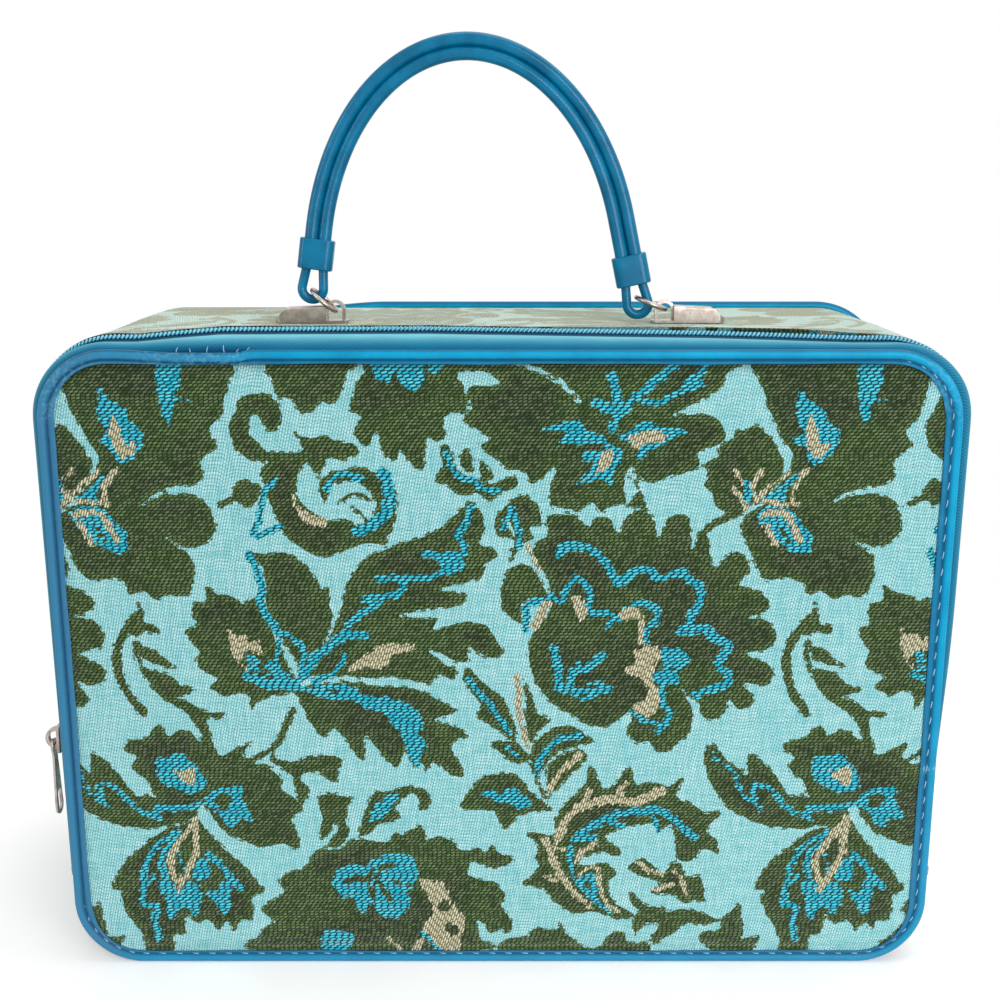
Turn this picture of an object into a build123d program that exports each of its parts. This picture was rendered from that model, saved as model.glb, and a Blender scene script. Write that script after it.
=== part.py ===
from build123d import *
import math
import os

# Zip-around tapestry case with a rolled cord handle. Millimetres, +Z up, front towards -Y,
# origin at the middle of the bottom.

# Outlines seen from the front: the lid's binding, and the body of the case behind it
front_width = 380.0
front_height = 276.5
front_corner_radius = 30.0
case_bottom_width = 384.0
case_top_width = 390.0
case_height = 281.0
case_corner_radius = 34.0
case_depth = 150.0

# Cloth, board and lining
cloth_thickness = 1.2
board_thickness = 2.0
lining_thickness = 0.7
layer_clearance = 0.2
pad_rise = 1.4
pad_round_share = 0.8

# Piped binding round the front and the back panel
bead_radius = 2.0
binding_width = 7.4
flange_thickness = 0.9
flange_setback = 0.6
back_bead_stand = 2.2

# Zip: two coils on two tapes, round three sides of the case
zip_setback = 16.3
coil_width = 2.2
coil_gap = 1.0
coil_stand = 1.6
coil_round_share = 0.36
tape_thickness = 0.8
tape_tuck = 9.6
zip_end_height = 40.0
running_clearance = 0.3
stop_length = 4.0
stop_wall = 0.5

# Slider on the left side, its bail and its pull
slider_height = 102.0
slider_length = 12.5
slider_nose_width = 9.4
slider_tail_width = 6.8
slider_plate = 1.2
slider_corner_radius = 1.6
slider_post_width = 0.5
slider_post_length = 3.6
bail_radius = 4.2
bail_thickness = 1.5
bail_width = 2.8
bail_foot = 0.8
pull_hang_angle = 65.0
pull_length = 36.0
pull_thickness = 1.2
pull_eye_width = 6.8
pull_eye_hole_width = 3.8
pull_eye_hole_length = 3.6
pull_neck_width = 4.4
pull_end_width = 8.2
pull_slot_width = 4.4
pull_slot_length = 10.0
pull_eye_share = 0.22
pull_edge_round = 0.35

# Handle mounts: a stamped wedge with an arched eye at its inner end
mount_eye_spacing = 148.0
mount_setback = 66.5
mount_plate_thickness = 1.0
mount_width = 8.4
wedge_length = 23.0
wedge_height = 7.6
wedge_shoulder_fall = 0.9
wedge_end_height = 1.8
wedge_shoulder_share = 0.76
wedge_nose_radius = 3.2
wedge_edge_radius = 0.9
eye_inner_width = 6.2
eye_band = 1.4
eye_depth = 2.8
eye_leg = 4.5
rivet_radius = 1.4
rivet_blind_depth = 3.0
rivet_head_radius = 2.8
rivet_head_height = 1.3
rivet_place_shares = (0.24, 0.66)
backing_length = 24.0
backing_width = 13.0
backing_thickness = 1.0
backing_corner_radius = 3.0

# Rings between the eyes and the handle's loops
ring_radius = 7.0
ring_wire_radius = 1.0
ring_left_tilt = 42.0
ring_right_tilt = 22.0
ring_left_shift = 0.3
ring_right_shift = 0.2
ring_left_seat = 4.0
ring_right_seat = 4.8

# Handle: one cord doubled into an arch, with a loop and a keeper at each end
arch_half_width = 69.2
arch_height = 99.9
arch_shift = -12.4
arch_foot_height = 18.6
arch_lean = 2.2
leg_splay = 10.0
left_leg_length = 10.6
right_leg_length = 23.2
cord_radius = 3.0
cord_pitch = 5.9
loop_cord_radius = 2.1
loop_radius = 4.8
loop_reach = 22.2
keeper_height = 13.5
keeper_width = 15.6
keeper_depth = 9.2
keeper_corner_radius = 3.6
keeper_edge_radius = 0.7
keeper_overlap_share = 0.25

overrun = 5.0

# Outlines as (bottom width, top width, height, corner radius)
front_shape = (front_width, front_width, front_height, front_corner_radius)
case_shape = (case_bottom_width, case_top_width, case_height, case_corner_radius)
back_shape = (
    case_bottom_width + 2 * back_bead_stand,
    case_top_width + 2 * back_bead_stand,
    case_height + back_bead_stand,
    case_corner_radius + back_bead_stand,
)

# Planes from the front to the back of the lid
front_face = -case_depth / 2
bead_centre = front_face + bead_radius
flange_front = front_face + flange_setback
panel_front = flange_front + flange_thickness
board_front = panel_front + cloth_thickness
lining_front = board_front + board_thickness
lid_back = lining_front + lining_thickness
bead_back = front_face + 2 * bead_radius
panel_inset = 2 * bead_radius + layer_clearance

# Planes of the zip and the gusset
zip_centre = front_face + zip_setback
lid_coil_back = zip_centre - coil_gap / 2
lid_coil_front = lid_coil_back - coil_width
lid_tape_front = zip_centre - slider_nose_width / 2 - running_clearance
case_coil_front = zip_centre + coil_gap / 2
case_coil_back = case_coil_front + coil_width
gusset_front = case_coil_back + running_clearance
gusset_back = -bead_back - layer_clearance
tape_inset = cloth_thickness + layer_clearance
tape_back = gusset_front + tape_tuck
ring_board_front = tape_back + layer_clearance
ring_board_back = -lining_front - layer_clearance
lining_inset = tape_inset + board_thickness + layer_clearance
lining_face_inset = lining_inset + lining_thickness


def block(x_from, x_to, y_from, y_to, z_from, z_to):
    """A box between two corners."""
    size = (x_to - x_from, y_to - y_from, z_to - z_from)
    centre = ((x_from + x_to) / 2, (y_from + y_to) / 2, (z_from + z_to) / 2)
    return Pos(*centre) * Box(*size)


def half_width(shape, height):
    """Half the width of an outline at a height above its bottom."""
    bottom_width, top_width, full_height, radius = shape
    return (bottom_width + (top_width - bottom_width) * height / full_height) / 2


def outline(shape, inset, y):
    """The rounded outline at a depth, moved inwards by an inset."""
    bottom_width, top_width, height, radius = shape
    side_inset = inset * math.hypot(1, (top_width - bottom_width) / 2 / height)
    low_half = half_width(shape, inset) - side_inset
    high_half = half_width(shape, height - inset) - side_inset
    corners = [(-low_half, inset), (low_half, inset), (high_half, height - inset), (-high_half, height - inset)]
    flat = fillet(make_face(Polyline(*corners, close=True)).vertices(), radius - inset)
    return Pos(0, y, 0) * (Plane.XZ * flat)


def slab(shape, inset, y_from, y_to):
    """A plate with the outline, between two depths."""
    return extrude(outline(shape, inset, y_to), amount=y_to - y_from, dir=(0, -1, 0))


def band(shape, outer_inset, inner_inset, y_from, y_to):
    """A hoop between two insets of the outline."""
    return slab(shape, outer_inset, y_from, y_to) - slab(shape, inner_inset, y_from, y_to)


def binding(shape):
    """A piped bead round the outline, with a flat flange on the front of the panel."""
    path = outline(shape, bead_radius, bead_centre).face().outer_wire()
    section = Plane(origin=path @ 0, z_dir=path % 0) * Circle(bead_radius)
    return sweep(section, path=path) + band(shape, bead_radius, binding_width, flange_front, panel_front)


def panel(shape):
    """A stuffed cloth panel, tucked under the flange and raised inside it."""
    pad = slab(shape, binding_width + layer_clearance, panel_front - pad_rise, panel_front)
    rim = pad.faces().sort_by(Axis.Y)[0].edges()
    return slab(shape, panel_inset, panel_front, board_front) + fillet(rim, pad_rise * pad_round_share)


def coil(y_from, y_to):
    """One side of the zip, as a rounded rib that stands up from its tape."""
    rib = slab(case_shape, -coil_stand, y_from, y_to)
    rims = rib.faces().sort_by(Axis.Y)[0].edges() + rib.faces().sort_by(Axis.Y)[-1].edges()
    rounded = fillet(rims, coil_width * coil_round_share)
    return (rounded - slab(case_shape, tape_inset, y_from, y_to)) & zip_side


def stops(y_from, y_to):
    """A crimped stop round the lower end of a coil, on both sides of the case."""
    upper = block(-case_top_width, case_top_width, y_from, y_to, zip_end_height - stop_length, zip_end_height)
    return band(case_shape, -coil_stand - stop_wall, tape_inset, y_from, y_to) & upper


# The side walls and the top, above the lower ends of the zip
zip_side = block(
    -case_top_width, case_top_width,
    front_face - overrun, -front_face + overrun,
    zip_end_height, case_height + coil_stand + overrun,
)

# Lid
front_binding = binding(front_shape)
front_panel = panel(front_shape)
front_board = slab(front_shape, panel_inset, board_front, lining_front)
lid_lining = slab(front_shape, panel_inset, lining_front, lid_back)


def flare(inset):
    """A tapered core between the binding and the zip."""
    front_edge = outline(front_shape, bead_radius - tape_thickness / 2 + inset, bead_back + layer_clearance)
    zip_edge = outline(case_shape, tape_inset + inset, lid_tape_front)
    return loft([front_edge.face(), zip_edge.face()], ruled=True)


lid_tape_edge = band(case_shape, tape_inset, tape_inset + tape_thickness, lid_tape_front, lid_coil_back)
zip_tape_lid = (flare(0) - flare(tape_thickness) + lid_tape_edge) & zip_side
zip_coil_lid = coil(lid_coil_front, lid_coil_back)
zip_stops_lid = stops(lid_coil_front, lid_coil_back)

# Back, made like the front and turned to face the other way
back_binding = mirror(binding(back_shape), Plane.XZ)
back_panel = mirror(panel(back_shape), Plane.XZ)
back_board = mirror(slab(back_shape, panel_inset, board_front, lining_front), Plane.XZ)

# Body of the case, with its cloth carried to the front along the bottom as the lid's hinge
hinge_edge = bead_back + running_clearance
gusset = band(case_shape, 0, cloth_thickness, hinge_edge, gusset_back)
gusset -= block(
    -case_top_width, case_top_width,
    hinge_edge - overrun, gusset_front,
    zip_end_height - stop_length - running_clearance, case_height + overrun,
)
gusset_board = band(case_shape, tape_inset, tape_inset + board_thickness, ring_board_front, ring_board_back)
case_lining = band(case_shape, lining_inset, lining_face_inset, ring_board_front, ring_board_back)
case_lining += slab(case_shape, lining_inset, ring_board_back - lining_thickness, ring_board_back)
case_tape_full = band(case_shape, tape_inset, tape_inset + tape_thickness, case_coil_front, tape_back)
zip_tape_case = case_tape_full & zip_side
zip_coil_case = coil(case_coil_front, case_coil_back)
zip_stops_case = stops(case_coil_front, case_coil_back)

# Handle mounts, drawn for the right side
mount_depth = front_face + mount_setback
mount_top = case_height + mount_plate_thickness
eye_place = mount_eye_spacing / 2
eye_outer_width = eye_inner_width + 2 * eye_band
wedge_start = eye_place + eye_outer_width / 2 - eye_band / 2
wedge_end = wedge_start + wedge_length
rivet_places = [wedge_start + share * wedge_length for share in rivet_place_shares]


def arch_profile(width, leg):
    """A round-topped arch standing on the mount's plate."""
    half = width / 2
    crown = ThreePointArc((half, leg), (0, leg + half), (-half, leg))
    return make_face([Polyline((-half, leg), (-half, 0), (half, 0), (half, leg)), crown])


def mount_right():
    """The wedge, the plate under its eye, and the eye itself."""
    shoulder = wedge_start + wedge_shoulder_share * wedge_length
    side = Polyline(
        (wedge_start, 0),
        (wedge_start, wedge_height),
        (shoulder, wedge_height - wedge_shoulder_fall),
        (wedge_end, wedge_end_height),
        (wedge_end, 0),
        close=True,
    )
    body = extrude(Plane.XZ * make_face(side), amount=mount_width / 2, both=True)
    nose = body.edges().filter_by(Axis.Z).group_by(Axis.X)[-1]
    body = fillet(nose, wedge_nose_radius)
    rim = body.faces().sort_by(Axis.Z)[-1].edges()
    body = fillet(rim, wedge_edge_radius)
    plate_start = eye_place - eye_outer_width / 2 - eye_band
    plate = block(plate_start, wedge_end - mount_width / 2, -mount_width / 2, mount_width / 2,
                  0, mount_plate_thickness)
    plate = fillet(plate.edges().filter_by(Axis.Z).group_by(Axis.X)[0], eye_band)
    ring = arch_profile(eye_outer_width, eye_leg) - arch_profile(eye_inner_width, eye_leg)
    eye = extrude(Plane.XZ * ring, amount=eye_depth / 2, both=True)
    body += plate + Pos(eye_place, 0, mount_plate_thickness) * eye
    for place in rivet_places:
        body -= Pos(place, 0, rivet_blind_depth / 2) * Cylinder(rivet_radius + layer_clearance, rivet_blind_depth)
    return Pos(0, mount_depth, case_height) * body


def rivet_hole(place):
    """The hole that a rivet passes through, from the mount to the inside."""
    depth = lining_face_inset + overrun
    hole = Cylinder(rivet_radius + layer_clearance, depth, align=(Align.CENTER, Align.CENTER, Align.MAX))
    return Pos(place, mount_depth, case_height) * hole


def rivet(place):
    """A rivet from inside the wedge to its head under the backing plate."""
    top = case_height + rivet_blind_depth - layer_clearance
    bottom = backing_top - backing_thickness - layer_clearance
    shank = Cylinder(rivet_radius, top - bottom, align=(Align.CENTER, Align.CENTER, Align.MIN))
    head = Cylinder(rivet_head_radius, rivet_head_height, align=(Align.CENTER, Align.CENTER, Align.MAX))
    head = fillet(head.faces().sort_by(Axis.Z)[0].edges(), rivet_head_height / 2)
    return Pos(place, mount_depth, bottom) * (shank + head)


handle_mount_right = mount_right()
handle_mount_left = mirror(handle_mount_right, Plane.YZ)
backing_top = case_height - lining_face_inset - layer_clearance
backing_centre = (rivet_places[0] + rivet_places[-1]) / 2
backing = Box(backing_length, backing_width, backing_thickness, align=(Align.CENTER, Align.CENTER, Align.MAX))
backing = fillet(backing.edges().filter_by(Axis.Z), backing_corner_radius)
backing_plate_right = Pos(backing_centre, mount_depth, backing_top) * backing
rivets_right = [rivet(place) for place in rivet_places]
for place in rivet_places:
    hole = rivet_hole(place)
    hole_pair = [hole, mirror(hole, Plane.YZ)]
    gusset -= hole_pair
    gusset_board -= hole_pair
    case_lining -= hole_pair
    backing_plate_right -= hole
backing_plate_left = mirror(backing_plate_right, Plane.YZ)
mount_rivets = Compound(children=rivets_right + [mirror(each, Plane.YZ) for each in rivets_right])

# Slider, built on the left wall: local X up the wall, local Y to the back, local Z outwards
wall_lean = math.atan2(case_top_width - case_bottom_width, 2 * case_height)
slider_seat = Plane(
    origin=(-half_width(case_shape, slider_height), zip_centre, slider_height),
    x_dir=(-math.sin(wall_lean), 0, math.cos(wall_lean)),
    z_dir=(-math.cos(wall_lean), 0, -math.sin(wall_lean)),
)
outer_plate_base = coil_stand + running_clearance
inner_plate_top = -tape_inset - tape_thickness - running_clearance
bail_base = outer_plate_base + slider_plate
bail_centre = bail_base + bail_foot


def slider_plate_solid(base):
    """A tapered plate, wide at its lower end."""
    low, high = -slider_length / 2, slider_length / 2
    points = [
        (low, -slider_nose_width / 2), (low, slider_nose_width / 2),
        (high, slider_tail_width / 2), (high, -slider_tail_width / 2),
    ]
    flat = fillet(make_face(Polyline(*points, close=True)).vertices(), slider_corner_radius)
    return Pos(0, 0, base) * extrude(flat, amount=slider_plate)


post_height = bail_base - inner_plate_top
post = Pos(-slider_length / 4, 0, inner_plate_top + post_height / 2)
post *= Box(slider_post_length, slider_post_width, post_height)
bail_profile = arch_profile(2 * bail_radius + bail_thickness, bail_foot + slider_plate / 2)
bail_profile -= arch_profile(2 * bail_radius - bail_thickness, bail_foot + slider_plate / 2)
bail = extrude(Plane.XZ * bail_profile, amount=bail_width / 2, both=True)
zip_slider = slider_plate_solid(outer_plate_base) + slider_plate_solid(inner_plate_top - slider_plate)
zip_slider += post + Pos(0, 0, bail_base - slider_plate / 2) * bail
zip_slider = slider_seat * zip_slider

# Pull, threaded on the bail and hanging down the wall
pull_eye_along = -bail_radius * math.sin(math.radians(pull_hang_angle))
pull_eye_out = bail_centre + bail_radius * math.cos(math.radians(pull_hang_angle))
pull_top = pull_eye_along + pull_eye_width / 2
pull_end = pull_top - pull_length
pull_neck = pull_top - pull_length * pull_eye_share
pull_points = [
    (pull_eye_along, pull_eye_width / 2), (pull_neck, pull_neck_width / 2),
    (pull_end + pull_end_width / 2, pull_end_width / 2),
    (pull_end + pull_end_width / 2, -pull_end_width / 2),
    (pull_neck, -pull_neck_width / 2), (pull_eye_along, -pull_eye_width / 2),
]
pull_face = make_face(Polyline(*pull_points, close=True))
pull_face += Pos(pull_eye_along, 0) * Circle(pull_eye_width / 2)
pull_face += Pos(pull_end + pull_end_width / 2, 0) * Circle(pull_end_width / 2)
pull_slot_centre = pull_end + (pull_end_width - pull_slot_width + pull_slot_length) / 2
pull_face -= Pos(pull_slot_centre, 0) * SlotOverall(pull_slot_length, pull_slot_width)
pull_face -= Pos(pull_eye_along, 0) * Ellipse(pull_eye_hole_length / 2, pull_eye_hole_width / 2)
pull_solid = extrude(pull_face, amount=pull_thickness / 2, both=True)
pull_rims = pull_solid.faces().sort_by(Axis.Z)[0].outer_wire().edges()
pull_rims += pull_solid.faces().sort_by(Axis.Z)[-1].outer_wire().edges()
zip_pull = slider_seat * (Pos(0, 0, pull_eye_out) * fillet(pull_rims, pull_edge_round))

# Rings, each lying from its eye up towards the left


def ring(eye_x, shift, seat, tilt):
    """A wire ring with its low side in the eye, a seat height above the mount's plate."""
    reach = ring_radius * math.cos(math.radians(tilt))
    rise = ring_radius * math.sin(math.radians(tilt))
    place = Pos(eye_x + shift - reach, mount_depth, mount_top + seat + rise)
    return place * Rot(0, tilt, 0) * Torus(ring_radius, ring_wire_radius)


ring_left = ring(-eye_place, ring_left_shift, ring_left_seat, ring_left_tilt)
ring_right = ring(eye_place, ring_right_shift, ring_right_seat, ring_right_tilt)

# Handle, drawn upright about the middle of its arch
splay = math.radians(leg_splay)
leg_overlap = keeper_height * keeper_overlap_share


def leg_direction(side):
    """The way that a leg runs down, left or right."""
    return Vector(side * math.sin(splay), -math.cos(splay))


def arch_foot(side, spread):
    """The end of the arch, where the straight leg begins, on a curve grown by spread."""
    wide, high = arch_half_width + spread, arch_height + spread
    angle = math.atan2(math.tan(splay) * high, wide)
    return Vector(side * wide * math.cos(angle), high * math.sin(angle)), math.degrees(angle)


def keeper_centre(side):
    """The middle of a keeper, on the centre line of its leg."""
    length = right_leg_length if side > 0 else left_leg_length
    return arch_foot(side, 0)[0] + leg_direction(side) * length


def leg_end(side, spread):
    """The lower end of one strand's thick part, hidden in the keeper."""
    across = Vector(side * math.cos(splay), math.sin(splay))
    return keeper_centre(side) + across * spread + leg_direction(side) * leg_overlap


def strand(spread):
    """The outer or the inner strand of the arch, with its two straight legs."""
    foot_angle = arch_foot(1, spread)[1]
    curve = EllipticalCenterArc(
        (0, 0), arch_half_width + spread, arch_height + spread,
        start_angle=foot_angle, arc_size=180 - 2 * foot_angle,
    )
    right = Line(leg_end(1, spread), arch_foot(1, spread)[0])
    left = Line(arch_foot(-1, spread)[0], leg_end(-1, spread))
    path = Plane.XZ * Wire([right.edge(), curve.edge(), left.edge()])
    return sweep(Plane(origin=path @ 0, z_dir=path % 0) * Circle(cord_radius), path=path)


def loop(side):
    """The thin loop below a keeper: two legs and a round end that they meet smoothly."""
    bend = loop_reach - loop_radius - loop_cord_radius
    start = cord_pitch / 2
    opening = math.asin(loop_radius / math.hypot(start, bend)) - math.atan2(start, bend)
    down = leg_direction(side)
    across = Vector(math.cos(splay), side * math.sin(splay))
    centre = keeper_centre(side)
    begin = [centre + across * start, centre - across * start]
    drop = down * (bend - loop_radius * math.sin(opening))
    spread = across * loop_radius * math.cos(opening)
    touch = [centre + drop + spread, centre + drop - spread]
    bottom = centre + down * (bend + loop_radius)
    edges = [Line(begin[0], touch[0]), ThreePointArc(touch[0], bottom, touch[1]), Line(touch[1], begin[1])]
    path = Plane.XZ * Wire([each.edge() for each in edges])
    return sweep(Plane(origin=path @ 0, z_dir=path % 0) * Circle(loop_cord_radius), path=path)


def keeper(side):
    """A vinyl sleeve that holds the two strands together."""
    outer = RectangleRounded(keeper_width, keeper_depth, keeper_corner_radius)
    bore = SlotOverall(cord_pitch + 2 * (cord_radius + layer_clearance), 2 * (cord_radius + layer_clearance))
    sleeve = extrude(outer, amount=keeper_height / 2, both=True)
    ends = sleeve.faces().sort_by(Axis.Z)[0].edges() + sleeve.faces().sort_by(Axis.Z)[-1].edges()
    sleeve = fillet(ends, keeper_edge_radius) - extrude(bore, amount=keeper_height, both=True)
    centre = keeper_centre(side)
    return Pos(centre.X, 0, centre.Y) * Rot(0, -side * leg_splay, 0) * sleeve


handle_place = Pos(arch_shift, mount_depth, case_height + arch_foot_height) * Rot(0, -arch_lean, 0)
handle_cord = strand(cord_pitch / 2) + strand(-cord_pitch / 2) + loop(1) + loop(-1)
handle_cord = handle_place * handle_cord
keeper_left = handle_place * keeper(-1)
keeper_right = handle_place * keeper(1)

nodes = {
    "gusset": gusset,
    "gusset_board": gusset_board,
    "case_lining": case_lining,
    "back_panel": back_panel,
    "back_board": back_board,
    "back_binding": back_binding,
    "zip_tape_case": zip_tape_case,
    "zip_coil_case": zip_coil_case,
    "zip_stops_case": zip_stops_case,
    "handle_mount_left": handle_mount_left,
    "handle_mount_right": handle_mount_right,
    "backing_plate_left": backing_plate_left,
    "backing_plate_right": backing_plate_right,
    "mount_rivets": mount_rivets,
    "front_panel": front_panel,
    "front_board": front_board,
    "lid_lining": lid_lining,
    "front_binding": front_binding,
    "zip_tape_lid": zip_tape_lid,
    "zip_coil_lid": zip_coil_lid,
    "zip_stops_lid": zip_stops_lid,
    "zip_slider": zip_slider,
    "zip_pull": zip_pull,
    "ring_left": ring_left,
    "ring_right": ring_right,
    "handle_cord": handle_cord,
    "keeper_left": keeper_left,
    "keeper_right": keeper_right,
}
os.makedirs("parts", exist_ok=True)
for name, solid in nodes.items():
    export_step(solid, f"parts/{name}.step")
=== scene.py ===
import math
import bpy
import numpy as np
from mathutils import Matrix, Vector


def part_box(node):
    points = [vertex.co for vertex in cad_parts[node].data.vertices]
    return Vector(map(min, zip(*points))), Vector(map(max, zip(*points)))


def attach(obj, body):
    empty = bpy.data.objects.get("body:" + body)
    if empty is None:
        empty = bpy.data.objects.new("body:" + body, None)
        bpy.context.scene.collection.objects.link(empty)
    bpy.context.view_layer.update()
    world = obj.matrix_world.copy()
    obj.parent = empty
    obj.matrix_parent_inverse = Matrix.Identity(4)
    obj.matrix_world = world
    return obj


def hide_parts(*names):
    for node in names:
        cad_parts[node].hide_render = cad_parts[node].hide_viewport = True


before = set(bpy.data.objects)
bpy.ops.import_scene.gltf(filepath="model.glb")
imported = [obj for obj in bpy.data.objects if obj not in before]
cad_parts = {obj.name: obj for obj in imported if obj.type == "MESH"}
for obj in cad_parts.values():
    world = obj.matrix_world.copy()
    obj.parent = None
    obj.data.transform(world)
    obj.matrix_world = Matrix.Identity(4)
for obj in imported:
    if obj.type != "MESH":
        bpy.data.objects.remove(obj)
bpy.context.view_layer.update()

# Sizes of the case, in metres, read from the frame where a node gives them
front_low, front_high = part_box("front_binding")
back_low, back_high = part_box("back_binding")
gusset_low, gusset_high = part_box("gusset")
lid_coil_low, lid_coil_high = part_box("zip_coil_lid")
case_coil_low, case_coil_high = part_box("zip_coil_case")
bottom_taper = 0.006
bead_radius = 0.0020
corner_radius_front = 0.030
corner_radius_case = 0.034
corner_radius_back = 0.0362
binding_width = 0.0074
flange_setback = 0.0006
flange_thickness = 0.0009
flange_front = front_low.y + flange_setback
cloth_thickness = 0.0012
zip_end_height = lid_coil_low.z
zip_tape_inset = 0.0014
hinge_top = 0.0357
gusset_zip_edge = case_coil_high.y + 0.0003
millimetres = 1000.0

# Camera solved from the straight edges of the front
camera_place = Vector((0.0, -0.6192, 0.3427))
camera_pitch = math.radians(13.28)
camera_focal_px = 1350.0
photo_px = 1000.0
sensor_width = 36.0


def srgb(red, green, blue):
    """A colour written as the eye reads it, from 0 to 255, as linear RGBA."""
    def linear(value):
        value /= 255
        return value / 12.92 if value <= 0.04045 else ((value + 0.055) / 1.055) ** 2.4
    return (linear(red), linear(green), linear(blue), 1.0)


class Signal:
    """A shader socket. Arithmetic on it adds Math nodes to its tree."""

    def __init__(self, tree, socket=None):
        self.tree = tree
        self.socket = socket

    def node(self, kind, settings=(), inputs=(), output=0):
        """Adds a node of any type: its settings first, then the values or links of its sockets."""
        made = self.tree.nodes.new(kind)
        for name, value in dict(settings).items():
            setattr(made, name, value)
        for key, value in dict(inputs).items():
            if isinstance(value, Signal):
                self.tree.links.new(value.socket, made.inputs[key])
            else:
                made.inputs[key].default_value = value
        return Signal(self.tree, made.outputs[output])

    def maths(self, operation, *values):
        """One Math node on up to three values."""
        return self.node("ShaderNodeMath", {"operation": operation}, dict(enumerate(values)))

    def __add__(self, other):
        return self.maths("ADD", self, other)

    def __radd__(self, other):
        return self.maths("ADD", other, self)

    def __sub__(self, other):
        return self.maths("SUBTRACT", self, other)

    def __rsub__(self, other):
        return self.maths("SUBTRACT", other, self)

    def __mul__(self, other):
        return self.maths("MULTIPLY", self, other)

    def __truediv__(self, other):
        return self.maths("DIVIDE", self, other)

    def __gt__(self, other):
        return self.maths("GREATER_THAN", self, other)

    def __pow__(self, other):
        return self.maths("POWER", self, other)

    def floor(self):
        return self.maths("FLOOR", self)

    def fraction(self):
        return self.maths("FRACT", self)

    def sine(self):
        return self.maths("SINE", self)

    def least(self, other):
        return self.maths("MINIMUM", self, other)

    def most(self, other):
        return self.maths("MAXIMUM", self, other)

    def step(self, low, high):
        """0 below low, 1 above high, and a smooth rise between them."""
        settings = {"interpolation_type": "SMOOTHSTEP"}
        return self.node("ShaderNodeMapRange", settings, {0: self, 1: low, 2: high, 3: 0.0, 4: 1.0})


def mix(factor, first, second):
    """A colour from first to second."""
    return factor.node("ShaderNodeMix", {"data_type": "RGBA"}, {0: factor, 6: first, 7: second}, output=2)


def join(shader, x, y, z=0.0):
    """Three values as one vector."""
    return shader.node("ShaderNodeCombineXYZ", (), {0: x, 1: y, 2: z})


def split(vector):
    """The three values of a vector."""
    return [vector.node("ShaderNodeSeparateXYZ", (), {0: vector}, output=k) for k in range(3)]


def noise(vector, scale, detail=2.0, roughness=0.5):
    """Smooth noise about 0.5."""
    inputs = {"Vector": vector, "Scale": scale, "Detail": detail, "Roughness": roughness}
    return vector.node("ShaderNodeTexNoise", {"noise_dimensions": "3D"}, inputs)


def dice(vector):
    """One random value for each whole-numbered place."""
    return vector.node("ShaderNodeTexWhiteNoise", {"noise_dimensions": "3D"}, {"Vector": vector})


def stretch(vector, x, y, z):
    """A vector with its parts scaled apart."""
    return vector.node("ShaderNodeVectorMath", {"operation": "MULTIPLY"}, {0: vector, 1: (x, y, z)})


def attribute(shader, name, output="Vector"):
    """What a mesh stores at its points under a name."""
    return shader.node("ShaderNodeAttribute", {"attribute_name": name}, output=output)


def place(shader):
    """The place of a point in the frame, in metres."""
    return shader.node("ShaderNodeTexCoord", output="Object")


def new_material(name):
    """An empty material with one Principled shader, and a start for its maths."""
    material = bpy.data.materials.new(name)
    material.use_nodes = True
    tree = material.node_tree
    return material, Signal(tree), tree.nodes["Principled BSDF"]


def finish_material(shader, principled, colour, roughness, height=None, relief=0.0002, strength=0.6, **fixed):
    """Links colour, roughness and bump, and sets the constant sockets."""
    links = {"Base Color": colour, "Roughness": roughness, **fixed}
    if height is not None:
        inputs = {"Height": height, "Distance": relief, "Strength": strength}
        links["Normal"] = shader.node("ShaderNodeBump", (), inputs)
    for name, value in links.items():
        socket = principled.inputs[name.replace("_", " ")]
        if isinstance(value, Signal):
            shader.tree.links.new(value.socket, socket)
        else:
            socket.default_value = value


# Woven cloth

ground_pitch = 1.15
ground_length = 1.5
ground_lean = 0.22
rib_pitch = 1.32
rib_length = 2.0
bright_pitch = 1.36
bright_length = 2.9
tan_pitch = 1.1
tan_length = 3.0
tan_lean = 0.3
edge_jitter = 1.5
rib_slant = 0.45
row_wander = 0.8
row_shift = 0.7


def dashes(along, across, length, pitch, slip, slant):
    """Short raised threads in tilted rows: their height, and one random value for each thread."""
    row = (across / pitch).floor()
    run = along / length + row * slip + dice(join(across, row, slip)) * row_shift
    chance = dice(join(along, run.floor(), row))
    off = (across / pitch).fraction() - 0.5 - (run.fraction() - 0.5) * slant
    lift = (run.fraction() * math.pi).sine() ** 0.6 * (1.0 - off * off * (chance * 1.6 + 3.6)).most(0.0)
    return lift, chance


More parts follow.
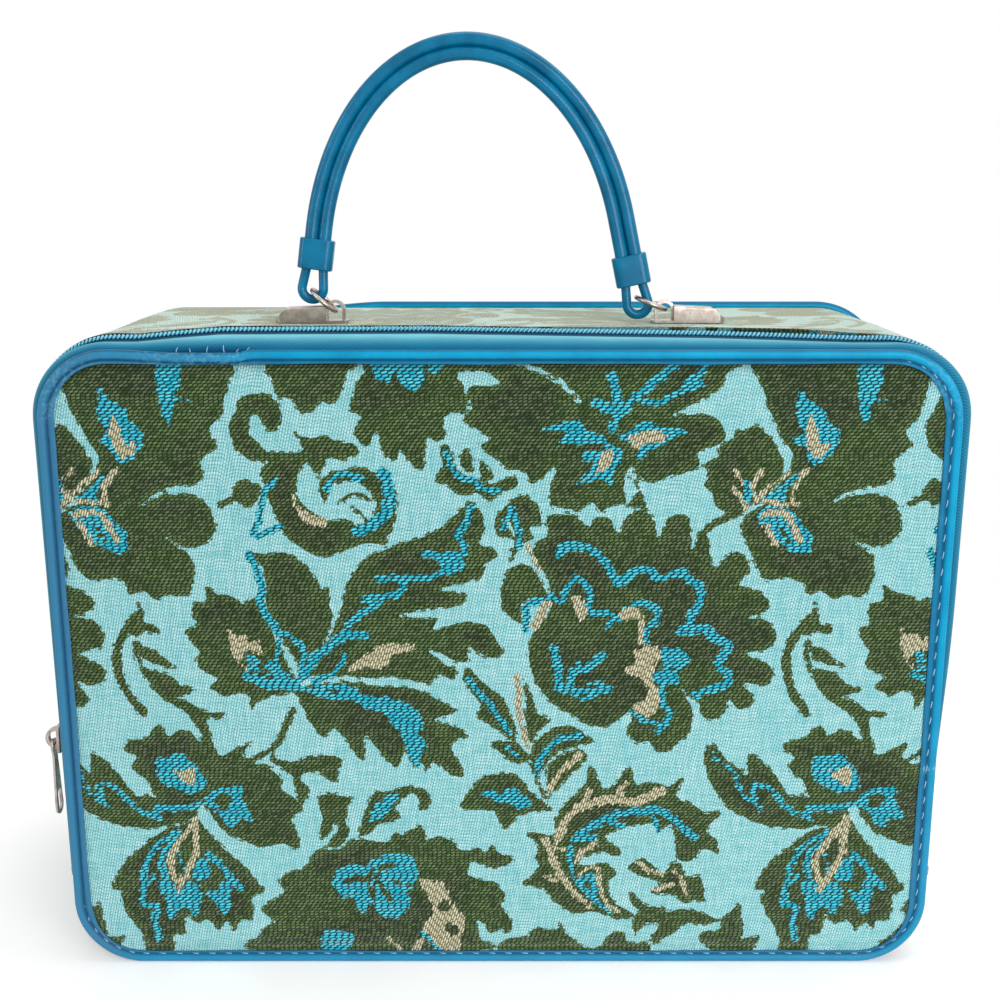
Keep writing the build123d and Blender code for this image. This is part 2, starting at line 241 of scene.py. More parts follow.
def tapestry_material():
    """Pale plain ground with floats of green, turquoise and tan yarn in the woven motifs."""
    material, shader, principled = new_material("tapestry")
    thread = attribute(shader, "thread")
    u, v = split(thread)[:2]
    wander = noise(stretch(thread, 0.05, 0.12, 1.0), 1.0, 2.0) - 0.5
    v = v + wander * row_wander
    rib, rib_dice = dashes(u, v, rib_length, rib_pitch, 0.47, rib_slant)
    bright, bright_dice = dashes(u, v, bright_length, bright_pitch, 0.36, rib_slant)
    pale, pale_dice = dashes(v, u - v * tan_lean, tan_length, tan_pitch, 0.41, 0.0)
    depth = attribute(shader, "green", "Fac")
    green = (depth + (rib_dice - 0.5) * edge_jitter) > 0.0
    turquoise = (attribute(shader, "turquoise", "Fac") + (bright_dice - 0.5) * edge_jitter) > 0.0
    tan = (attribute(shader, "tan", "Fac") + (pale_dice - 0.5) * edge_jitter) > 0.0
    plain, plain_dice = dashes(v, u - v * ground_lean, ground_length, ground_pitch, 0.5, 0.0)
    cloud = noise(stretch(thread, 0.03, 0.03, 1.0), 1.0, 3.0)
    weft_slub = noise(stretch(thread, 0.08, 0.9, 1.0), 1.0, 2.0)
    warp_slub = noise(stretch(thread, 0.9, 0.08, 1.0), 1.0, 2.0)
    ground = mix((weft_slub + warp_slub - 0.5).step(0.15, 0.85), srgb(128, 194, 196), srgb(186, 222, 222))
    ground = mix(cloud.step(0.4, 0.8) * 0.25, ground, srgb(118, 196, 204))
    colour = mix(plain.step(0.0, 0.6), mix(plain_dice, srgb(34, 112, 124), srgb(100, 172, 178)), ground)
    heart = depth.step(2.0, 3.8) * cloud.step(0.4, 0.6) * 0.75
    rib_light = mix(rib_dice, srgb(56, 80, 40), srgb(106, 128, 82))
    rib_light = mix(heart, rib_light, mix(rib_dice, srgb(42, 54, 32), srgb(98, 108, 80)))
    rib_colour = mix(rib.step(0.05, 0.8), mix(heart, srgb(20, 32, 14), srgb(16, 24, 18)), rib_light)
    colour = mix(green, colour, rib_colour)
    bright_light = mix(bright_dice, srgb(20, 170, 196), srgb(88, 212, 228))
    colour = mix(turquoise, colour, mix(bright.step(0.12, 0.8), srgb(2, 48, 60), bright_light))
    pale_light = mix(pale_dice, srgb(184, 176, 142), srgb(222, 216, 188))
    colour = mix(tan, colour, mix(pale.step(0.05, 0.8), srgb(84, 86, 56), pale_light))
    # painted sheen: paler on the top of the gusset; inside the hinge, the muted colour of the cloth's reverse
    # side
    colour = mix(attribute(shader, "sheen_shade_and_dull", "Fac") * 0.38, colour, srgb(226, 232, 190))
    colour = mix(attribute(shader, "shade", "Fac") * 0.75, colour, srgb(12, 20, 16))
    height = plain * 0.5 * (1.0 - green) + rib * green
    height = height * (1.0 - turquoise) + bright * 1.15 * turquoise
    height = height * (1.0 - tan) + pale * tan
    roughness = 0.82 - turquoise * 0.18 - green * 0.05
    finish_material(shader, principled, colour, roughness, height, 0.0005, 0.75,
                    Sheen_Weight=0.6, Sheen_Roughness=0.3, Specular_IOR_Level=0.12)
    return material


twill_pitch = 0.95
lining_pitch = 0.0007
twist_pitch = 0.0006


def twill_material(name, thread_of):
    """Teal zip tape: fine slanted ribs, paler along the ridge, partly worn and partly a painted highlight,
    and darker towards the seam as painted shade.
    """
    material, shader, principled = new_material(name)
    thread = thread_of(shader)
    u, v, w = split(thread)
    rib = (((u + w) * 0.7 + v) * (math.pi * 2 / twill_pitch)).sine() * 0.5 + 0.5
    cloud = noise(stretch(thread, 0.06, 0.3, 1.0), 1.0, 3.0)
    wear_and_painted_light = attribute(shader, "wear_and_painted_light", "Fac")
    colour = mix(rib * 0.6 + cloud * 0.4, srgb(0, 80, 116), srgb(12, 120, 154))
    # paler towards the ridge: partly wear, partly a painted highlight on the lit ridge over painted shade
    # near the seam
    colour = mix((wear_and_painted_light * (0.7 + cloud * 0.6)).least(1.0), colour,
                 mix(rib, srgb(92, 178, 196), srgb(140, 216, 230)))
    # painted shade: dark in the torn gap behind the bead and in the valley under the coil
    recess_shade = attribute(shader, "recess_shade", "Fac")
    colour = mix((recess_shade * (0.6 + cloud)).least(1.0) * 0.9, colour, srgb(0, 58, 94))
    finish_material(shader, principled, colour, 0.75 + cloud * 0.1, rib, 0.0001, 0.5,
                    Sheen_Weight=0.04, Specular_IOR_Level=0.1)
    return material


def vinyl_material():
    """Glossy coated vinyl of the handle: a fine grain and faint creases."""
    material, shader, principled = new_material("handle_vinyl")
    spot = place(shader)
    grain = noise(spot, 2600.0, 3.0)
    mottle = noise(spot, 90.0, 3.0)
    crease = noise(spot, 420.0, 2.0)
    colour = mix(mottle.step(0.25, 0.75), srgb(0, 92, 128), srgb(0, 114, 154))
    roughness = mottle * 0.05 + grain * 0.04 + 0.09
    height = grain * 0.5 + crease * 0.5
    finish_material(shader, principled, colour, roughness, height, 0.00003, 0.25, Specular_IOR_Level=0.2)
    return material


def binding_material():
    """Blue vinyl binding, duller on the flat flange, scuffed pale along the bead."""
    material, shader, principled = new_material("binding_vinyl")
    spot = place(shader)
    grain = noise(spot, 2400.0, 3.0)
    mottle = noise(spot, 70.0, 4.0)
    fleck = noise(spot, 600.0, 2.0)
    flat = attribute(shader, "flat", "Fac")
    # on the binding this holds only real wear: scuffs and a scratch
    wear_and_painted_light = attribute(shader, "wear_and_painted_light", "Fac")
    bead = mix(mottle.step(0.25, 0.75), srgb(0, 136, 178), srgb(2, 154, 198))
    lip = mix(mottle.step(0.25, 0.75), srgb(8, 102, 140), srgb(20, 118, 158))
    colour = mix(flat, bead, lip)
    # painted shade: darker and duller on the binding's left side; also duller at the bottom, low on the right
    # and at the top left
    colour = mix(attribute(shader, "sheen_shade_and_dull", "Fac") * (mottle * 0.5 + 0.75), colour, srgb(56, 112, 146))
    # painted shade: darker in the stitch groove, and on the top run's bead where the tape overhangs it
    colour = mix(attribute(shader, "groove", "Fac") * 0.85, colour, srgb(0, 64, 102))
    scuff = (wear_and_painted_light * fleck.step(0.46, 0.66)).least(1.0)
    colour = mix(scuff * 0.6, colour, srgb(128, 186, 214))
    roughness = (mottle * 0.10 + flat * 0.12 + scuff * 0.2 + 0.32).least(1.0)
    finish_material(shader, principled, colour, roughness, grain * 0.5 + fleck * 0.5, 0.00008, 0.3,
                    Specular_IOR_Level=0.14)
    return material


def nickel_material():
    """Worn nickel plate: fine scratches, dull patches and warm tarnish."""
    material, shader, principled = new_material("worn_nickel")
    spot = place(shader)
    scratch = noise(stretch(spot, 300.0, 2400.0, 2400.0), 1.0, 2.0)
    patch = noise(spot, 260.0, 4.0)
    colour = mix(patch.step(0.35, 0.7), srgb(188, 176, 170), srgb(156, 142, 134))
    colour = mix(noise(spot, 900.0, 3.0).step(0.6, 0.75) * 0.5, colour, srgb(108, 94, 84))
    roughness = patch * 0.16 + scratch * 0.10 + 0.16
    finish_material(shader, principled, colour, roughness, scratch * 0.6 + patch * 0.4, 0.00005, 0.3,
                    Metallic=1.0)
    return material


def coil_material():
    """Blue nylon coil, glossy, with a painted highlight on top of each turn and painted shade below it."""
    material, shader, principled = new_material("zip_coil")
    spot = place(shader)
    mottle = noise(spot, 220.0, 3.0)
    rise = attribute(shader, "rise", "Fac")
    # painted highlight on the top of each turn, painted shade beneath
    colour = mix(rise.step(0.0, 0.6), srgb(16, 92, 134), mix(mottle, srgb(84, 184, 214), srgb(140, 212, 232)))
    finish_material(shader, principled, colour, mottle * 0.15 + 0.3, mottle, 0.00005, 0.3,
                    Specular_IOR_Level=0.3)
    return material


def lining_material():
    """Plain pale blue lining cloth."""
    material, shader, principled = new_material("lining_cloth")
    spot = place(shader)
    x, y, z = split(spot)
    warp = ((x + y) * (math.pi * 2 / lining_pitch)).sine() * 0.5 + 0.5
    weft = (z * (math.pi * 2 / lining_pitch)).sine() * 0.5 + 0.5
    cloud = noise(spot, 40.0, 3.0)
    slub = noise(stretch(spot, 30.0, 30.0, 900.0), 1.0, 2.0)
    colour = mix(cloud * 0.6 + slub * 0.4, srgb(104, 158, 172), srgb(142, 190, 200))
    colour = mix(warp * weft * 0.4, colour, srgb(176, 212, 218))
    finish_material(shader, principled, colour, 0.7 + slub * 0.15, warp * 0.5 + weft * 0.5, 0.0001, 0.5,
                    Sheen_Weight=0.2, Specular_IOR_Level=0.3)
    return material


def board_material():
    """Grey-brown fibreboard."""
    material, shader, principled = new_material("fibreboard")
    spot = place(shader)
    fibre = noise(stretch(spot, 500.0, 500.0, 900.0), 1.0, 4.0)
    cloud = noise(spot, 60.0, 3.0)
    colour = mix(fibre * 0.6 + cloud * 0.4, srgb(104, 88, 66), srgb(166, 146, 116))
    finish_material(shader, principled, colour, 0.8 + fibre * 0.15, fibre, 0.0002, 0.5)
    return material


def thread_material():
    """Pale blue sewing thread with its twist."""
    material, shader, principled = new_material("stitch_thread")
    spot = place(shader)
    x, y, z = split(spot)
    twist = ((x + y + z) * (math.pi * 2 / twist_pitch)).sine() * 0.5 + 0.5
    shade = noise(spot, 300.0, 2.0)
    colour = mix(twist * 0.5 + shade * 0.5, srgb(96, 156, 200), srgb(172, 208, 230))
    finish_material(shader, principled, colour, 0.6 + shade * 0.1, twist, 0.0001, 0.5)
    return material


tapestry = tapestry_material()
zip_twill = twill_material("zip_twill", lambda shader: attribute(shader, "thread"))
case_twill = twill_material("case_twill", lambda shader: stretch(place(shader), *[millimetres] * 3))
handle_vinyl = vinyl_material()
binding_vinyl = binding_material()
worn_nickel = nickel_material()
coil_nylon = coil_material()
lining_cloth = lining_material()
fibreboard = board_material()
stitch_thread = thread_material()


# Outlines and meshes

facing_low = 0.3
facing_blend = 0.6
tube_sides = 6


class Outline:
    """A rounded outline in the X Z plane, walked once round from the middle of its bottom."""

    def __init__(self, bottom_half, top_half, low, high, radius, step):
        corners = np.array([(bottom_half, low), (top_half, high), (-top_half, high), (-bottom_half, low)])
        points = []
        for k, corner in enumerate(corners):
            before = corners[k - 1] - corner
            after = corners[(k + 1) % len(corners)] - corner
            before /= np.linalg.norm(before)
            after /= np.linalg.norm(after)
            half_angle = math.acos(np.dot(before, after)) / 2
            reach = radius / math.tan(half_angle)
            centre = (corner + (before + after) / np.linalg.norm(before + after)
                      * radius / math.sin(half_angle))
            start = corner + before * reach - centre
            sweep = math.pi - 2 * half_angle
            turns = np.linspace(0, sweep, 64)
            cosine, sine = np.cos(turns), np.sin(turns)
            points.append(centre + np.stack([start[0] * cosine - start[1] * sine,
                                             start[0] * sine + start[1] * cosine], 1))
        loop = np.concatenate([[(0.0, low)], *points, [(0.0, low)]])
        lengths = np.concatenate([[0], np.cumsum(np.linalg.norm(np.diff(loop, axis=0), axis=1))])
        self.length = lengths[-1]
        count = int(round(self.length / step))
        self.along = np.arange(count) * self.length / count
        self.points = np.stack([np.interp(self.along, lengths, loop[:, k]) for k in range(2)], 1)
        ahead = np.roll(self.points, -1, 0) - np.roll(self.points, 1, 0)
        ahead /= np.linalg.norm(ahead, axis=1)[:, None]
        self.outward = np.stack([ahead[:, 1], -ahead[:, 0]], 1)

    def offset(self, inset):
        """The outline moved inwards, by one inset or by one for each point."""
        return self.points - self.outward * np.reshape(inset, (-1, 1))

    def upper(self, height):
        """The run above a height, from the right side over the top to the left side."""
        return np.nonzero(self.points[:, 1] >= height)[0]

    def facing(self, x, z):
        """1 where the outline faces a direction, 0 where it faces well away from it."""
        return np.clip((self.outward @ np.array((x, z), float) - facing_low) / facing_blend, 0, 1)

    def at(self, values, where):
        """What pairs of values at the outline's points come to at a length along it."""
        reach = np.append(self.along, self.length)
        return np.array([np.interp(where, reach, np.append(values[:, k], values[0, k])) for k in range(2)])


def half_at(height, bottom_half, top_half, full):
    """Half the width of a tapered outline at a height."""
    return bottom_half + (top_half - bottom_half) * height / full


def front_outline(step):
    """The outside of the front binding."""
    return Outline(front_high.x, front_high.x, front_low.z, front_high.z, corner_radius_front, step)


def case_outline(step):
    """The outside of the gusset."""
    return Outline(gusset_high.x - bottom_taper / 2, gusset_high.x, gusset_low.z, gusset_high.z,
                   corner_radius_case, step)


def back_outline(step):
    """The outside of the back binding."""
    return Outline(back_high.x - bottom_taper / 2, back_high.x, back_low.z, back_high.z,
                   corner_radius_back, step)


def ripple(x, z, waves):
    """A gentle unevenness from a few crossing waves."""
    total = np.zeros_like(x)
    for across, up, shift, size in waves:
        total += size * np.sin(x * across + z * up + shift)
    return total


def make_piece(name, points, faces, material, smooth=True):
    """A mesh object from points and faces."""
    mesh = bpy.data.meshes.new(name)
    mesh.from_pydata([tuple(p) for p in points], [], faces)
    mesh.materials.append(material)
    mesh.polygons.foreach_set("use_smooth", [smooth] * len(mesh.polygons))
    mesh.update()
    piece = bpy.data.objects.new(name, mesh)
    bpy.context.scene.collection.objects.link(piece)
    return piece


def store(piece, name, values):
    """Keeps a value or a vector at each point of a mesh."""
    values = np.asarray(values, np.float32)
    kind = "FLOAT_VECTOR" if values.ndim == 2 else "FLOAT"
    data = piece.data.attributes.new(name, kind, "POINT").data
    data.foreach_set("vector" if values.ndim == 2 else "value", values.ravel())


def grid_faces(rows, columns, start=0, around=False, joined=False, flip=False):
    """Quads of a grid of points, row by row, closed round its columns or round its rows if asked."""
    row, column = np.meshgrid(np.arange(rows if joined else rows - 1),
                              np.arange(columns if around else columns - 1), indexing="ij")
    after, below = (column + 1) % columns, (row + 1) % rows
    corners = [row * columns + column, row * columns + after,
               below * columns + after, below * columns + column]
    if flip:
        corners.reverse()
    return (np.stack(corners, -1).reshape(-1, 4) + start).tolist()


def tube_faces(rings, sides, start=0, flip=False):
    """Quads round a run of rings, with a cap on each end."""
    first = list(range(start, start + sides))
    last = [k + (rings - 1) * sides for k in first]
    caps = [first, last[::-1]] if flip else [first[::-1], last]
    return grid_faces(rings, sides, start, around=True, flip=flip) + caps


def ring_turns(count):
    """Angles once round, without the last that repeats the first."""
    return np.linspace(0, 2 * np.pi, count + 1)[:-1]


def swept(name, rows, material, closed):
    """A closed profile carried along a run: rows has one loop of profile points for each place along it."""
    count, sides = rows.shape[:2]
    faces = grid_faces(count, sides, around=True, joined=True) if closed else tube_faces(count, sides)
    return make_piece(name, rows.reshape(-1, 3), faces, material)


def lay(flat, depth):
    """Outline points at a depth, as points in the frame."""
    depth = np.broadcast_to(depth, len(flat))
    return np.stack([flat[:, 0], depth, flat[:, 1]], 1)


# Woven motifs: closed fields and strokes of yarn, in millimetres on the cloth, repeated along it.
# Each shape is its yarn, the width of a stroke or 0 for a closed field, and its points.

motif_repeat = 285.0
field_reach = 4.0

motifs = {
    "crowned_flower": [
        ("green", 0, [(106, 272), (172, 272), (175, 263), (173, 256), (171, 249), (166, 243), (169, 237),
            (162, 231), (163, 225), (159, 221), (150, 219.5), (143, 217.5), (137, 212.5), (141, 214.5),
            (147, 217), (154, 217), (161, 215.5), (165, 211), (167, 205), (166, 199), (161, 195),
            (156, 194), (150, 196.5), (146, 198), (151, 194), (155.5, 191), (157, 184), (156, 177),
            (153, 172.5), (146, 173.5), (141, 171), (135, 174.5), (129, 174), (127, 179), (120, 180.5),
            (112, 179.5), (108, 184), (105, 191), (102, 197), (100, 203), (103, 209), (110, 213),
            (113, 219), (117, 224), (119.5, 229), (119.5, 234), (115.5, 240), (112.5, 246), (109.5, 252),
            (107, 259), (105, 265)]),
        ("green", 0, [(105, 246), (109, 243), (113, 238), (116.5, 231), (116.5, 226), (114, 220),
            (108, 214), (101, 210), (97, 209), (92, 210), (89, 213), (87, 218), (84, 221), (86, 226),
            (84, 230), (89, 233), (90, 237), (95, 240), (97, 244), (101, 244)]),
        ("green", 2.8, [(100, 209.5), (93, 206.5), (87, 203.5), (84, 197), (83, 189)]),
        ("turquoise", 0, [(122, 262), (126, 256), (132, 253), (134, 247), (139, 243), (138, 237),
            (134, 232), (130, 229), (127, 231), (125, 236), (120, 240), (124, 243), (121, 248),
            (121, 255)]),
        ("tan", 0, [(126.5, 250), (129, 246), (130.5, 240), (133, 237.5), (136.5, 241), (135, 235),
            (131, 232), (128, 233), (126, 238), (125, 243)]),
        ("turquoise", 0, [(146, 272), (155, 272), (155, 263), (153, 258), (158.5, 255.5), (152, 254.5),
            (151, 249), (149.5, 246), (147, 251), (146, 258)]),
        ("turquoise", 0, [(100, 223), (104, 222), (103.5, 213), (100, 213), (101, 218)]),
        ("turquoise", 0, [(109, 216), (114, 218.5), (121, 224.5), (125, 226), (118.5, 219), (118, 214),
            (112, 214.5)]),
        ("tan", 2, [(97, 227), (100, 222)]),
        ("tan", 2, [(108, 227), (104.5, 220), (106, 215)]),
        ("tan", 2, [(96, 220), (99, 216), (101, 213)]),
        ("tan", 2, [(102, 210.5), (106, 215), (112, 220.5), (119, 226)]),
        ("tan", 2.2, [(126.5, 227), (121.5, 220), (121, 214)]),
        ("tan", 1.8, [(107, 214.5), (115, 213), (123, 212.5)]),
        ("turquoise", 0, [(106, 208), (112, 212), (119, 211), (124, 206), (129, 201), (130, 196),
            (129, 191.5), (122, 192), (116, 196), (112, 200)]),
        ("tan", 2.8, [(109, 208), (114, 209), (119, 208), (122, 203), (125, 197)]),
        ("tan", 2.4, [(110, 204.5), (113, 199), (115, 195)]),
        ("green", 1.6, [(117, 203), (120, 197)]),
    ],
    "curled_bud": [
        ("green", 0, [(-103, 258.5), (-96, 259), (-91, 256), (-89, 250), (-90, 245), (-95, 243.5),
            (-97, 247), (-99, 250), (-102, 249), (-102, 242), (-99, 238), (-96, 235.5), (-90, 235),
            (-84, 234.5), (-80, 236), (-78, 232), (-82, 228), (-88, 230), (-95, 230.5), (-102, 231),
            (-107, 234), (-110, 239), (-111, 246), (-108, 251), (-107, 255)]),
        ("green", 0, [(-99, 226), (-95, 231), (-88, 233), (-81, 231.5), (-83, 225), (-84, 218), (-81, 212),
            (-76, 208), (-70, 206), (-63, 206), (-58, 203), (-52, 201), (-47, 199), (-48, 196),
            (-54, 195.5), (-60, 195), (-66, 192.5), (-72, 190), (-79, 192), (-85, 195.5), (-90, 200),
            (-93, 207), (-96, 214), (-97, 220)]),
        ("green", 0, [(-84, 243), (-79, 240.5), (-72, 241.5), (-66, 239), (-60, 238.5), (-58, 235),
            (-63, 231.5), (-70, 232), (-73, 227), (-75, 224), (-77, 228), (-80, 231), (-81, 236)]),
        ("green", 0, [(-47, 199), (-43.5, 206), (-42.5, 214), (-44, 221), (-48, 228), (-52, 226.5),
            (-57, 228.5), (-63, 227.5), (-69, 226.5), (-73.5, 223), (-75, 218), (-72.5, 213), (-70.5, 217),
            (-69, 220.5), (-64, 222), (-58, 221.5), (-54, 218.5), (-51.5, 214), (-53, 208), (-57, 204),
            (-61, 201)]),
        ("turquoise", 2.8, [(-71.5, 219), (-69, 223.5), (-63, 225), (-57, 223.5)]),
        ("turquoise", 5.2, [(-48, 226), (-46, 220), (-46, 213), (-49, 207), (-54, 203.5), (-59, 201)]),
        ("green", 2, [(-66, 213), (-62, 216.5), (-57, 216.5), (-54.5, 214)]),
        ("green", 2, [(-61, 211), (-57.5, 208.5), (-55.5, 206)]),
        ("tan", 0, [(-86, 217.5), (-84, 213), (-81, 209.5), (-76, 208), (-72, 206.5), (-73, 203.5),
            (-79, 204), (-83, 208), (-85, 212)]),
        ("turquoise", 2.6, [(-93, 222.5), (-97, 218), (-99, 212), (-100, 206), (-103, 200)]),
        ("turquoise", 2.6, [(-101, 198.5), (-96, 201), (-91, 204)]),
        ("green", 0, [(-110, 220), (-106, 223), (-101, 221.5), (-98, 219), (-101, 214), (-105, 211),
            (-108, 213.5), (-113, 212.5), (-118, 210.5), (-115, 214.5), (-111, 216.5)]),
    ],
    "open_lily": [
        ("green", 0, [(-104, 192), (-97, 191.5), (-90, 192.5), (-84, 189), (-79, 184), (-75, 177),
            (-72, 177), (-71.5, 170), (-70.5, 164), (-72, 158), (-75, 151), (-79, 145), (-84, 139),
            (-88, 146), (-92, 153), (-95, 158), (-97, 165), (-99, 172), (-98, 179), (-100, 186)]),
        ("green", 0, [(-124, 177.5), (-118, 174), (-112, 173), (-108, 170), (-104, 172.5), (-101, 168),
            (-98, 163), (-96, 157), (-93, 150), (-90, 142), (-87, 135), (-90, 130), (-98, 128), (-103, 126),
            (-106.5, 122), (-107.5, 128), (-112, 130), (-118, 127.5), (-121, 130), (-124.5, 132),
            (-120.5, 136.5), (-126, 139), (-129.5, 144), (-127.5, 148), (-131, 153), (-133, 158),
            (-128.5, 160), (-130, 166), (-128.5, 170), (-124, 171)]),
        ("green", 0, [(-84, 139), (-76, 150), (-71, 157), (-67.5, 166), (-65.5, 174), (-63, 181),
            (-58, 188), (-50, 193), (-41, 196.5), (-33, 199), (-25, 203), (-18, 209), (-12, 214.5),
            (-8, 209), (-6, 202), (-9, 196), (-3, 194), (-1, 190), (-6, 187), (-8, 181), (-15, 179),
            (-25, 175.8), (-15, 174.5), (-14.5, 171), (-21, 168), (-30, 167.2), (-42, 164.5), (-33, 163.5),
            (-26, 163.5), (-27.5, 158.5), (-19, 161), (-11, 162), (-5, 160), (-1, 153), (1.5, 148),
            (-4, 145.5), (-10, 148), (-14, 151.5), (-13, 144), (-20, 144.3), (-25, 147.5), (-29.5, 148.5),
            (-24, 143.3), (-18, 141), (-20, 135.5), (-26, 138), (-30, 133.5), (-38, 135.5), (-47, 137),
            (-56, 136.5), (-64, 137.5), (-74, 137)]),
        ("green", 0, [(-88, 131), (-78, 134), (-66, 135), (-56, 134), (-46, 133), (-38, 132.5), (-31, 130),
            (-25, 126), (-18.5, 121.5), (-28, 117), (-20, 115), (-13.5, 110), (-21, 107), (-19, 100),
            (-15, 91), (-22, 92), (-29, 98), (-31.5, 91), (-34, 97), (-38, 96), (-41, 103), (-44, 95.5),
            (-48, 97), (-54, 105), (-58, 109.5), (-59, 98.5), (-63, 102), (-68, 110), (-72, 113),
            (-76, 109), (-80, 113), (-84, 121), (-86, 127)]),
        ("tan", 0, [(-115, 158.5), (-112, 155), (-109, 156.5), (-106, 153), (-103, 154.5), (-102, 150),
            (-100, 147), (-104, 148), (-108, 149), (-110, 145), (-108, 140), (-111, 143), (-114, 149),
            (-115, 153)]),
        ("turquoise", 0, [(-110.5, 149.5), (-105, 147), (-101, 143), (-97, 145), (-94, 140), (-89, 137),
            (-85, 131), (-93, 131), (-99, 131.5), (-105, 134.5), (-110, 137), (-107.5, 140),
            (-107.5, 145)]),
        ("green", 1.6, [(-106, 139), (-98, 135.5)]),
        ("green", 1.8, [(-104, 143), (-97, 138)]),
        ("turquoise", 3.4, [(-105, 192), (-102, 185), (-100, 177), (-101, 170), (-98, 164),
            (-94.5, 158.5)]),
        ("turquoise", 2.2, [(-93, 157), (-94, 149), (-95, 142), (-90, 135)]),
        ("turquoise", 2.6, [(-93, 156), (-88, 155), (-83.5, 149), (-84.5, 141), (-86, 134)]),
        ("turquoise", 4.4, [(-84, 137), (-78, 146), (-71, 151.5), (-65, 156), (-57, 156)]),
        ("turquoise", 2.6, [(-80, 135), (-72, 137.5), (-67, 144), (-66, 147)]),
        ("turquoise", 2.8, [(-64, 161), (-57, 166), (-51, 170)]),
        ("turquoise", 3.2, [(-57, 172), (-49, 173), (-42, 174.5), (-40.5, 178.5)]),
        ("turquoise", 2.8, [(-51, 180.5), (-40, 181), (-30, 181), (-24, 184), (-17, 186)]),
        ("turquoise", 0, [(-27, 190), (-18, 190.5), (-14.5, 187), (-19, 182.5), (-24, 183), (-25, 187)]),
        ("turquoise", 3, [(-32, 191), (-22, 191), (-15, 191.5), (-15.5, 196), (-18, 200), (-14, 204),
            (-12, 211)]),
        ("tan", 0, [(-65, 140), (-60, 144.5), (-55, 148.5), (-50, 151.5), (-44, 152), (-35.5, 151),
            (-41, 148), (-46, 147), (-48, 143), (-51, 141), (-57, 141)]),
        ("turquoise", 0, [(-86, 132), (-74, 134), (-64, 133), (-58, 129.5), (-48, 128), (-40, 125.5),
            (-35, 121), (-33, 115), (-35, 111), (-31.5, 107), (-34, 101), (-35, 95.5), (-39, 99),
            (-41, 106), (-43, 111), (-47, 116), (-51, 121), (-58, 122.5), (-62, 126), (-70, 126.5),
            (-78, 128.5)]),
        ("green", 1.5, [(-80, 131.5), (-70, 130.5)]),
    ],
    "round_flower": [
        ("green", 0, [(0, 175), (2, 182), (6, 186.5), (12, 187), (16, 182), (18.5, 177), (20.5, 172),
            (13, 172), (9, 168), (10, 161), (5, 163.5), (1, 167)]),
        ("green", 0, [(20.5, 180), (16, 187), (13, 192), (15.5, 197), (20, 200), (19, 207), (25, 209),
            (32, 207.5), (36, 203), (40, 207), (46, 206.5), (49, 200.5), (53, 208), (58, 210.5), (63, 208),
            (66, 198.5), (69, 206), (74, 209), (79, 205), (80, 194), (83, 201), (87, 198), (88, 190),
            (90, 185.5), (94, 190), (99, 193), (103, 189), (104, 183), (100, 178), (105, 176.5),
            (110, 174.5), (114, 170), (112, 166), (105, 163.5), (113, 162), (117, 156), (115, 149.5),
            (105, 147), (114, 143), (117, 137.5), (113, 133), (104, 133.5), (109, 127.5), (106, 122.5),
            (101, 122.5), (98, 127), (97, 121), (92, 117), (87, 119), (85, 124.5), (81, 128.5),
            (77.5, 131.5), (82, 124), (83, 117), (81, 110), (77, 107), (72, 102.5), (67, 103.5), (64, 107),
            (59, 106.5), (55, 111), (56, 117), (57, 121.5), (53, 119), (48, 115), (42, 114), (36, 116),
            (30, 120), (23, 124), (18, 129.5), (14, 137), (12, 144), (12, 151), (14, 157), (18, 161.5),
            (21, 168), (20.5, 174)]),
        ("turquoise", 3.4, [(24, 190.5), (26, 194), (31, 195), (38, 193.5), (42, 190), (46, 185),
            (48.5, 179)]),
        ("turquoise", 3.6, [(49, 178.5), (53, 181), (57, 184), (62, 184.5), (66, 181), (72, 182), (77, 183),
            (80, 179), (84, 177), (84, 170), (81, 165), (80, 160), (76, 157)]),
        ("turquoise", 3.8, [(80, 157.5), (87, 158.5), (91, 154), (97, 152), (95, 147), (92.5, 143)]),
        ("turquoise", 3.6, [(94, 141), (97.5, 138), (97, 134), (92, 132), (87, 130), (83, 129)]),
        ("turquoise", 2.8, [(11, 158), (11, 165), (12, 170), (18, 171), (22, 173), (26, 171), (28, 177),
            (32, 181), (36, 178), (38, 173), (37, 168)]),
        ("turquoise", 2.8, [(37, 165.5), (44, 166), (48, 164), (46, 159.5)]),
        ("turquoise", 2.8, [(50, 162), (55, 168.5), (60, 170), (66, 167), (66, 162), (62, 158), (62, 152)]),
        ("turquoise", 0, [(69, 150), (78, 149), (80.5, 144), (76, 140.5), (70, 141), (68, 146)]),
        ("turquoise", 0, [(64.5, 138), (71, 140.5), (77, 138), (76, 134), (69, 133), (65, 134.5)]),
        ("turquoise", 3.2, [(69, 131), (70.5, 124), (73, 119), (68, 112)]),
        ("turquoise", 2.4, [(57, 121), (62, 117), (67, 116)]),
        ("tan", 3.4, [(14.5, 160), (17.5, 165), (20, 170)]),
        ("tan", 0, [(29.5, 173), (33.5, 173), (36.5, 168), (36, 163), (32.5, 163), (31.5, 168)]),
        ("tan", 0, [(50, 163.5), (53, 168), (58, 168), (60, 164), (55, 162.5)]),
        ("tan", 2.4, [(59.5, 164), (59.5, 158), (60, 152)]),
        ("tan", 0, [(53, 139.5), (57, 144), (58, 149.5), (66, 151), (69, 147), (66, 143), (65.5, 136),
            (68, 129), (68, 122), (64, 119), (59, 120), (57, 123.5), (62, 127), (63.5, 131), (60, 136)]),
        ("turquoise", 3.6, [(23, 150), (24, 143), (25, 137), (25, 131.5), (30, 132)]),
        ("turquoise", 3.2, [(30, 135), (31.5, 139.5), (36, 140), (40, 144), (44, 147)]),
        ("turquoise", 2.2, [(33, 144), (34, 140)]),
        ("turquoise", 3.4, [(32, 130), (38, 131), (47, 131)]),
        ("turquoise", 2.4, [(35, 127.5), (40, 128)]),
